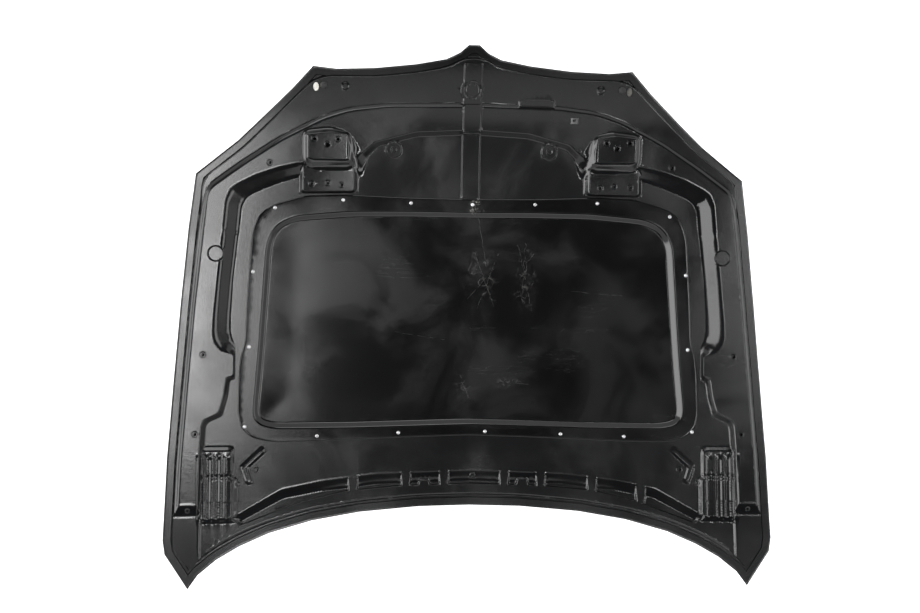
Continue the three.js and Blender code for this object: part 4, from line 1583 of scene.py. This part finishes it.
@dataclass
class Studio:
    """White surroundings, a dark overhead card, soft lamps and the camera."""

    yaw: float = 0.08634947
    roll: float = -0.00719244
    offset: Point = (22.25777, -21.95308)
    distance: float = 4000.0
    focal: float = 1643.4931
    world_light: float = 0.35
    floor_glow: float = 0.82
    floor_size: float = 60.0
    floor_gap: float = 0.0006
    card_size: float = 44.0
    card_height: float = 14.0

    def camera(self) -> None:
        """Places the camera at the photograph's viewpoint."""
        yaw = Matrix.Rotation(self.yaw, 3, "Y")
        roll = Matrix.Rotation(self.roll, 3, "Z")
        turn = (roll @ yaw).transposed()
        place = turn @ Vector((-self.offset[0], -self.offset[1], self.distance))
        data = bpy.data.cameras.new("camera")
        data.sensor_width = SENSOR
        data.lens = self.focal / IMAGE_WIDTH * SENSOR
        data.clip_end = 100.0
        made = bpy.data.objects.new("camera", data)
        made.matrix_world = Matrix.Translation(place * MM) @ turn.to_4x4()
        bpy.context.scene.collection.objects.link(made)
        bpy.context.scene.camera = made

    def world(self) -> None:
        """Makes the surroundings white to the eye and in reflections."""
        world = bpy.data.worlds.new("studio_world")
        bpy.context.scene.world = world
        world.use_nodes = True
        world.node_tree.nodes.clear()
        w = Wiring(world.node_tree)
        light = w.node("ShaderNodeBackground")
        light.inputs["Color"].default_value = (0.8, 0.82, 0.85, 1)
        light.inputs["Strength"].default_value = self.world_light
        white = w.node("ShaderNodeBackground")
        white.inputs["Color"].default_value = (1, 1, 1, 1)
        white.inputs["Strength"].default_value = 1.0
        mix = w.node("ShaderNodeMixShader")
        w.put(mix.inputs[0], w.seen())
        w.put(mix.inputs[1], light.outputs[0])
        w.put(mix.inputs[2], white.outputs[0])
        end = w.node("ShaderNodeOutputWorld")
        w.put(end.inputs["Surface"], mix.outputs[0])

    @staticmethod
    def plane(name: str, size: float, height: float) -> bpy.types.Object:
        """Makes a flat square sheet that isn't part of the bonnet.

        Args:
            name: Its name.
            size: Length of its sides in metres.
            height: Its height in metres.

        Returns:
            The sheet.
        """
        a = size / 2
        mesh = bpy.data.meshes.new(name)
        mesh.from_pydata([(-a, -a, 0), (a, -a, 0), (a, a, 0), (-a, a, 0)], [], [(0, 1, 2, 3)])
        made = bpy.data.objects.new(name, mesh)
        made.matrix_world = Matrix.Translation((0, 0, height))
        bpy.context.scene.collection.objects.link(made)
        return made

    def floor(self) -> None:
        """Lays a white floor that keeps the bonnet's shadow."""
        made = self.plane("floor", self.floor_size, -self.floor_gap)
        material, w = new_material("studio_floor")
        grain = w.noise(w.node("ShaderNodeTexCoord").outputs["Object"], 3.0, 3.0)
        paper = w.node("ShaderNodeBsdfPrincipled")
        w.put(paper.inputs["Base Color"], w.mix(grain, (0.86, 0.86, 0.86), (0.9, 0.9, 0.9)))
        paper.inputs["Roughness"].default_value = 0.9
        paper.inputs["Specular IOR Level"].default_value = 0.1
        glow = w.node("ShaderNodeEmission")
        glow.inputs["Color"].default_value = (1, 1, 1, 1)
        w.put(glow.inputs["Strength"], w.maths("MULTIPLY", w.seen(), self.floor_glow))
        both = w.node("ShaderNodeAddShader")
        w.put(both.inputs[0], paper.outputs[0])
        w.put(both.inputs[1], glow.outputs[0])
        end = w.node("ShaderNodeOutputMaterial")
        w.put(end.inputs["Surface"], both.outputs[0])
        made.data.materials.append(material)

    def card(self) -> None:
        """Hangs a dark card overhead, which the black surfaces mirror."""
        made = self.plane("overhead_card", self.card_size, self.card_height)
        made.visible_camera = False
        made.visible_diffuse = False
        made.visible_shadow = False
        material = bpy.data.materials.new("dark_card")
        material.use_nodes = True
        shader = material.node_tree.nodes["Principled BSDF"]
        shader.inputs["Base Color"].default_value = (0.03, 0.03, 0.03, 1)
        shader.inputs["Roughness"].default_value = 0.9
        made.data.materials.append(material)

    def lamp(self, name: str, place: Tuple[float, float, float], size: Point, power: float,
             overhead: bool = False) -> None:
        """Hangs one softbox that points at the bonnet, or straight down.

        Args:
            name: Its name.
            place: Where it hangs, in metres.
            size: Width and height of its face.
            power: Its power in watts.
            overhead: Whether it points straight down.
        """
        data = bpy.data.lights.new(name, "AREA")
        data.shape = "RECTANGLE"
        data.size, data.size_y = size
        data.energy = power
        made = bpy.data.objects.new(name, data)
        made.location = place
        if not overhead:
            made.rotation_euler = (-Vector(place)).to_track_quat("-Z", "Y").to_euler()
        bpy.context.scene.collection.objects.link(made)

    def build(self) -> None:
        """Sets up everything around the bonnet."""
        bpy.context.scene.view_settings.view_transform = "Standard"
        self.camera()
        self.world()
        self.floor()
        self.card()
        self.lamp("softbox_over_right", (2.7, -1.4, 12.0), (0.9, 3.6), 190, True)
        self.lamp("softbox_over_edge", (2.0, -1.35, 12.05), (0.4, 3.7), 15, True)
        self.lamp("softbox_over_front", (1.4, -4.2, 12.1), (2.2, 2.4), 13, True)
        self.lamp("softbox_over_left", (-0.8, -1.65, 12.0), (0.8, 3.3), 95, True)
        self.lamp("softbox_over_rear", (1.0, 1.9, 12.1), (4.0, 2.2), 8, True)
        self.lamp("softbox_left", (-3.2, 0.0, 3.4), (4.0, 1.2), 80)
        self.lamp("softbox_right", (3.1, 0.0, 3.5), (4.0, 1.0), 50)
        self.lamp("strip_right_low", (4.5, 0.0, 1.4), (4.0, 0.9), 38)
        self.lamp("strip_left_low", (-4.3, 0.0, 1.6), (4.0, 2.4), 150)
        self.lamp("strip_nose_low", (-0.8, 4.0, 2.9), (3.0, 1.0), 40)
        self.lamp("strip_rear_low", (0.0, -4.4, 1.9), (4.0, 1.0), 14)


def place(piece: bpy.types.Object, nodes: Sequence[str], slot: str) -> None:
    """Puts a piece on the frame in place of its solids.

    Args:
        piece: The piece.
        nodes: The solids that it stands for.
        slot: The record's material slot; not used.
    """
    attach(piece, "root")
    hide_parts(*nodes)
    mesh = piece.data
    mesh.calc_loop_triangles()
    LOG.info("%s: %d triangles", piece.name, len(mesh.loop_triangles))


def finish_of(node: bpy.types.Object, material: bpy.types.Material) -> None:
    """Gives a solid of the frame a better finish, on its own material slots.

    Args:
        node: The solid.
        material: The finish.
    """
    if not node.material_slots:
        node.data.materials.append(material)
    for item in node.material_slots:
        item.link = "OBJECT"
        item.material = material
    LOG.info("%s: dressed as it is", node.name)


def main() -> None:
    """Builds the scene in order and reports each piece."""
    logging.basicConfig(level=logging.INFO, format="%(message)s")
    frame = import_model()
    crown = Crown()
    effects = Effects()
    Studio().build()

    for moulding, node, slot in ((OuterSkin(crown), "outer_skin", "skin"),
                                 (InnerPanel(crown), "inner_panel", "panel"),
                                 (CentreTray(crown), "centre_tray", "tray")):
        made = moulding.build()
        moulding.dress(made, effects)
        place(made, [node], slot)

    plain = {finish.name: finish.build(effects) for finish in PLAIN_FINISHES}
    fittings = Fittings(crown)
    for piece, node in fittings.rivets():
        piece.data.materials.append(plain["rivet_aluminium"])
        place(piece, [node], "rivet")
    for side in Side:
        piece = fittings.buffer(side)
        piece.data.materials.append(plain["buffer_rubber"])
        place(piece, [f"bump_buffer_{side.name.lower()}"], "buffer")
    for name, node in frame["nodes"].items():
        if "plate" in name:
            finish_of(node, plain["plate_steel"])
        elif "paste" in name:
            # The left-hand paste takes the light paste colour, every other paste the dark one.
            finish_of(node, plain["bonding_paste" if name.endswith("left") else "dark_paste"])
        elif name == "panel_clip":
            finish_of(node, plain["clip_zinc"])


if __name__ == "__main__":
    main()
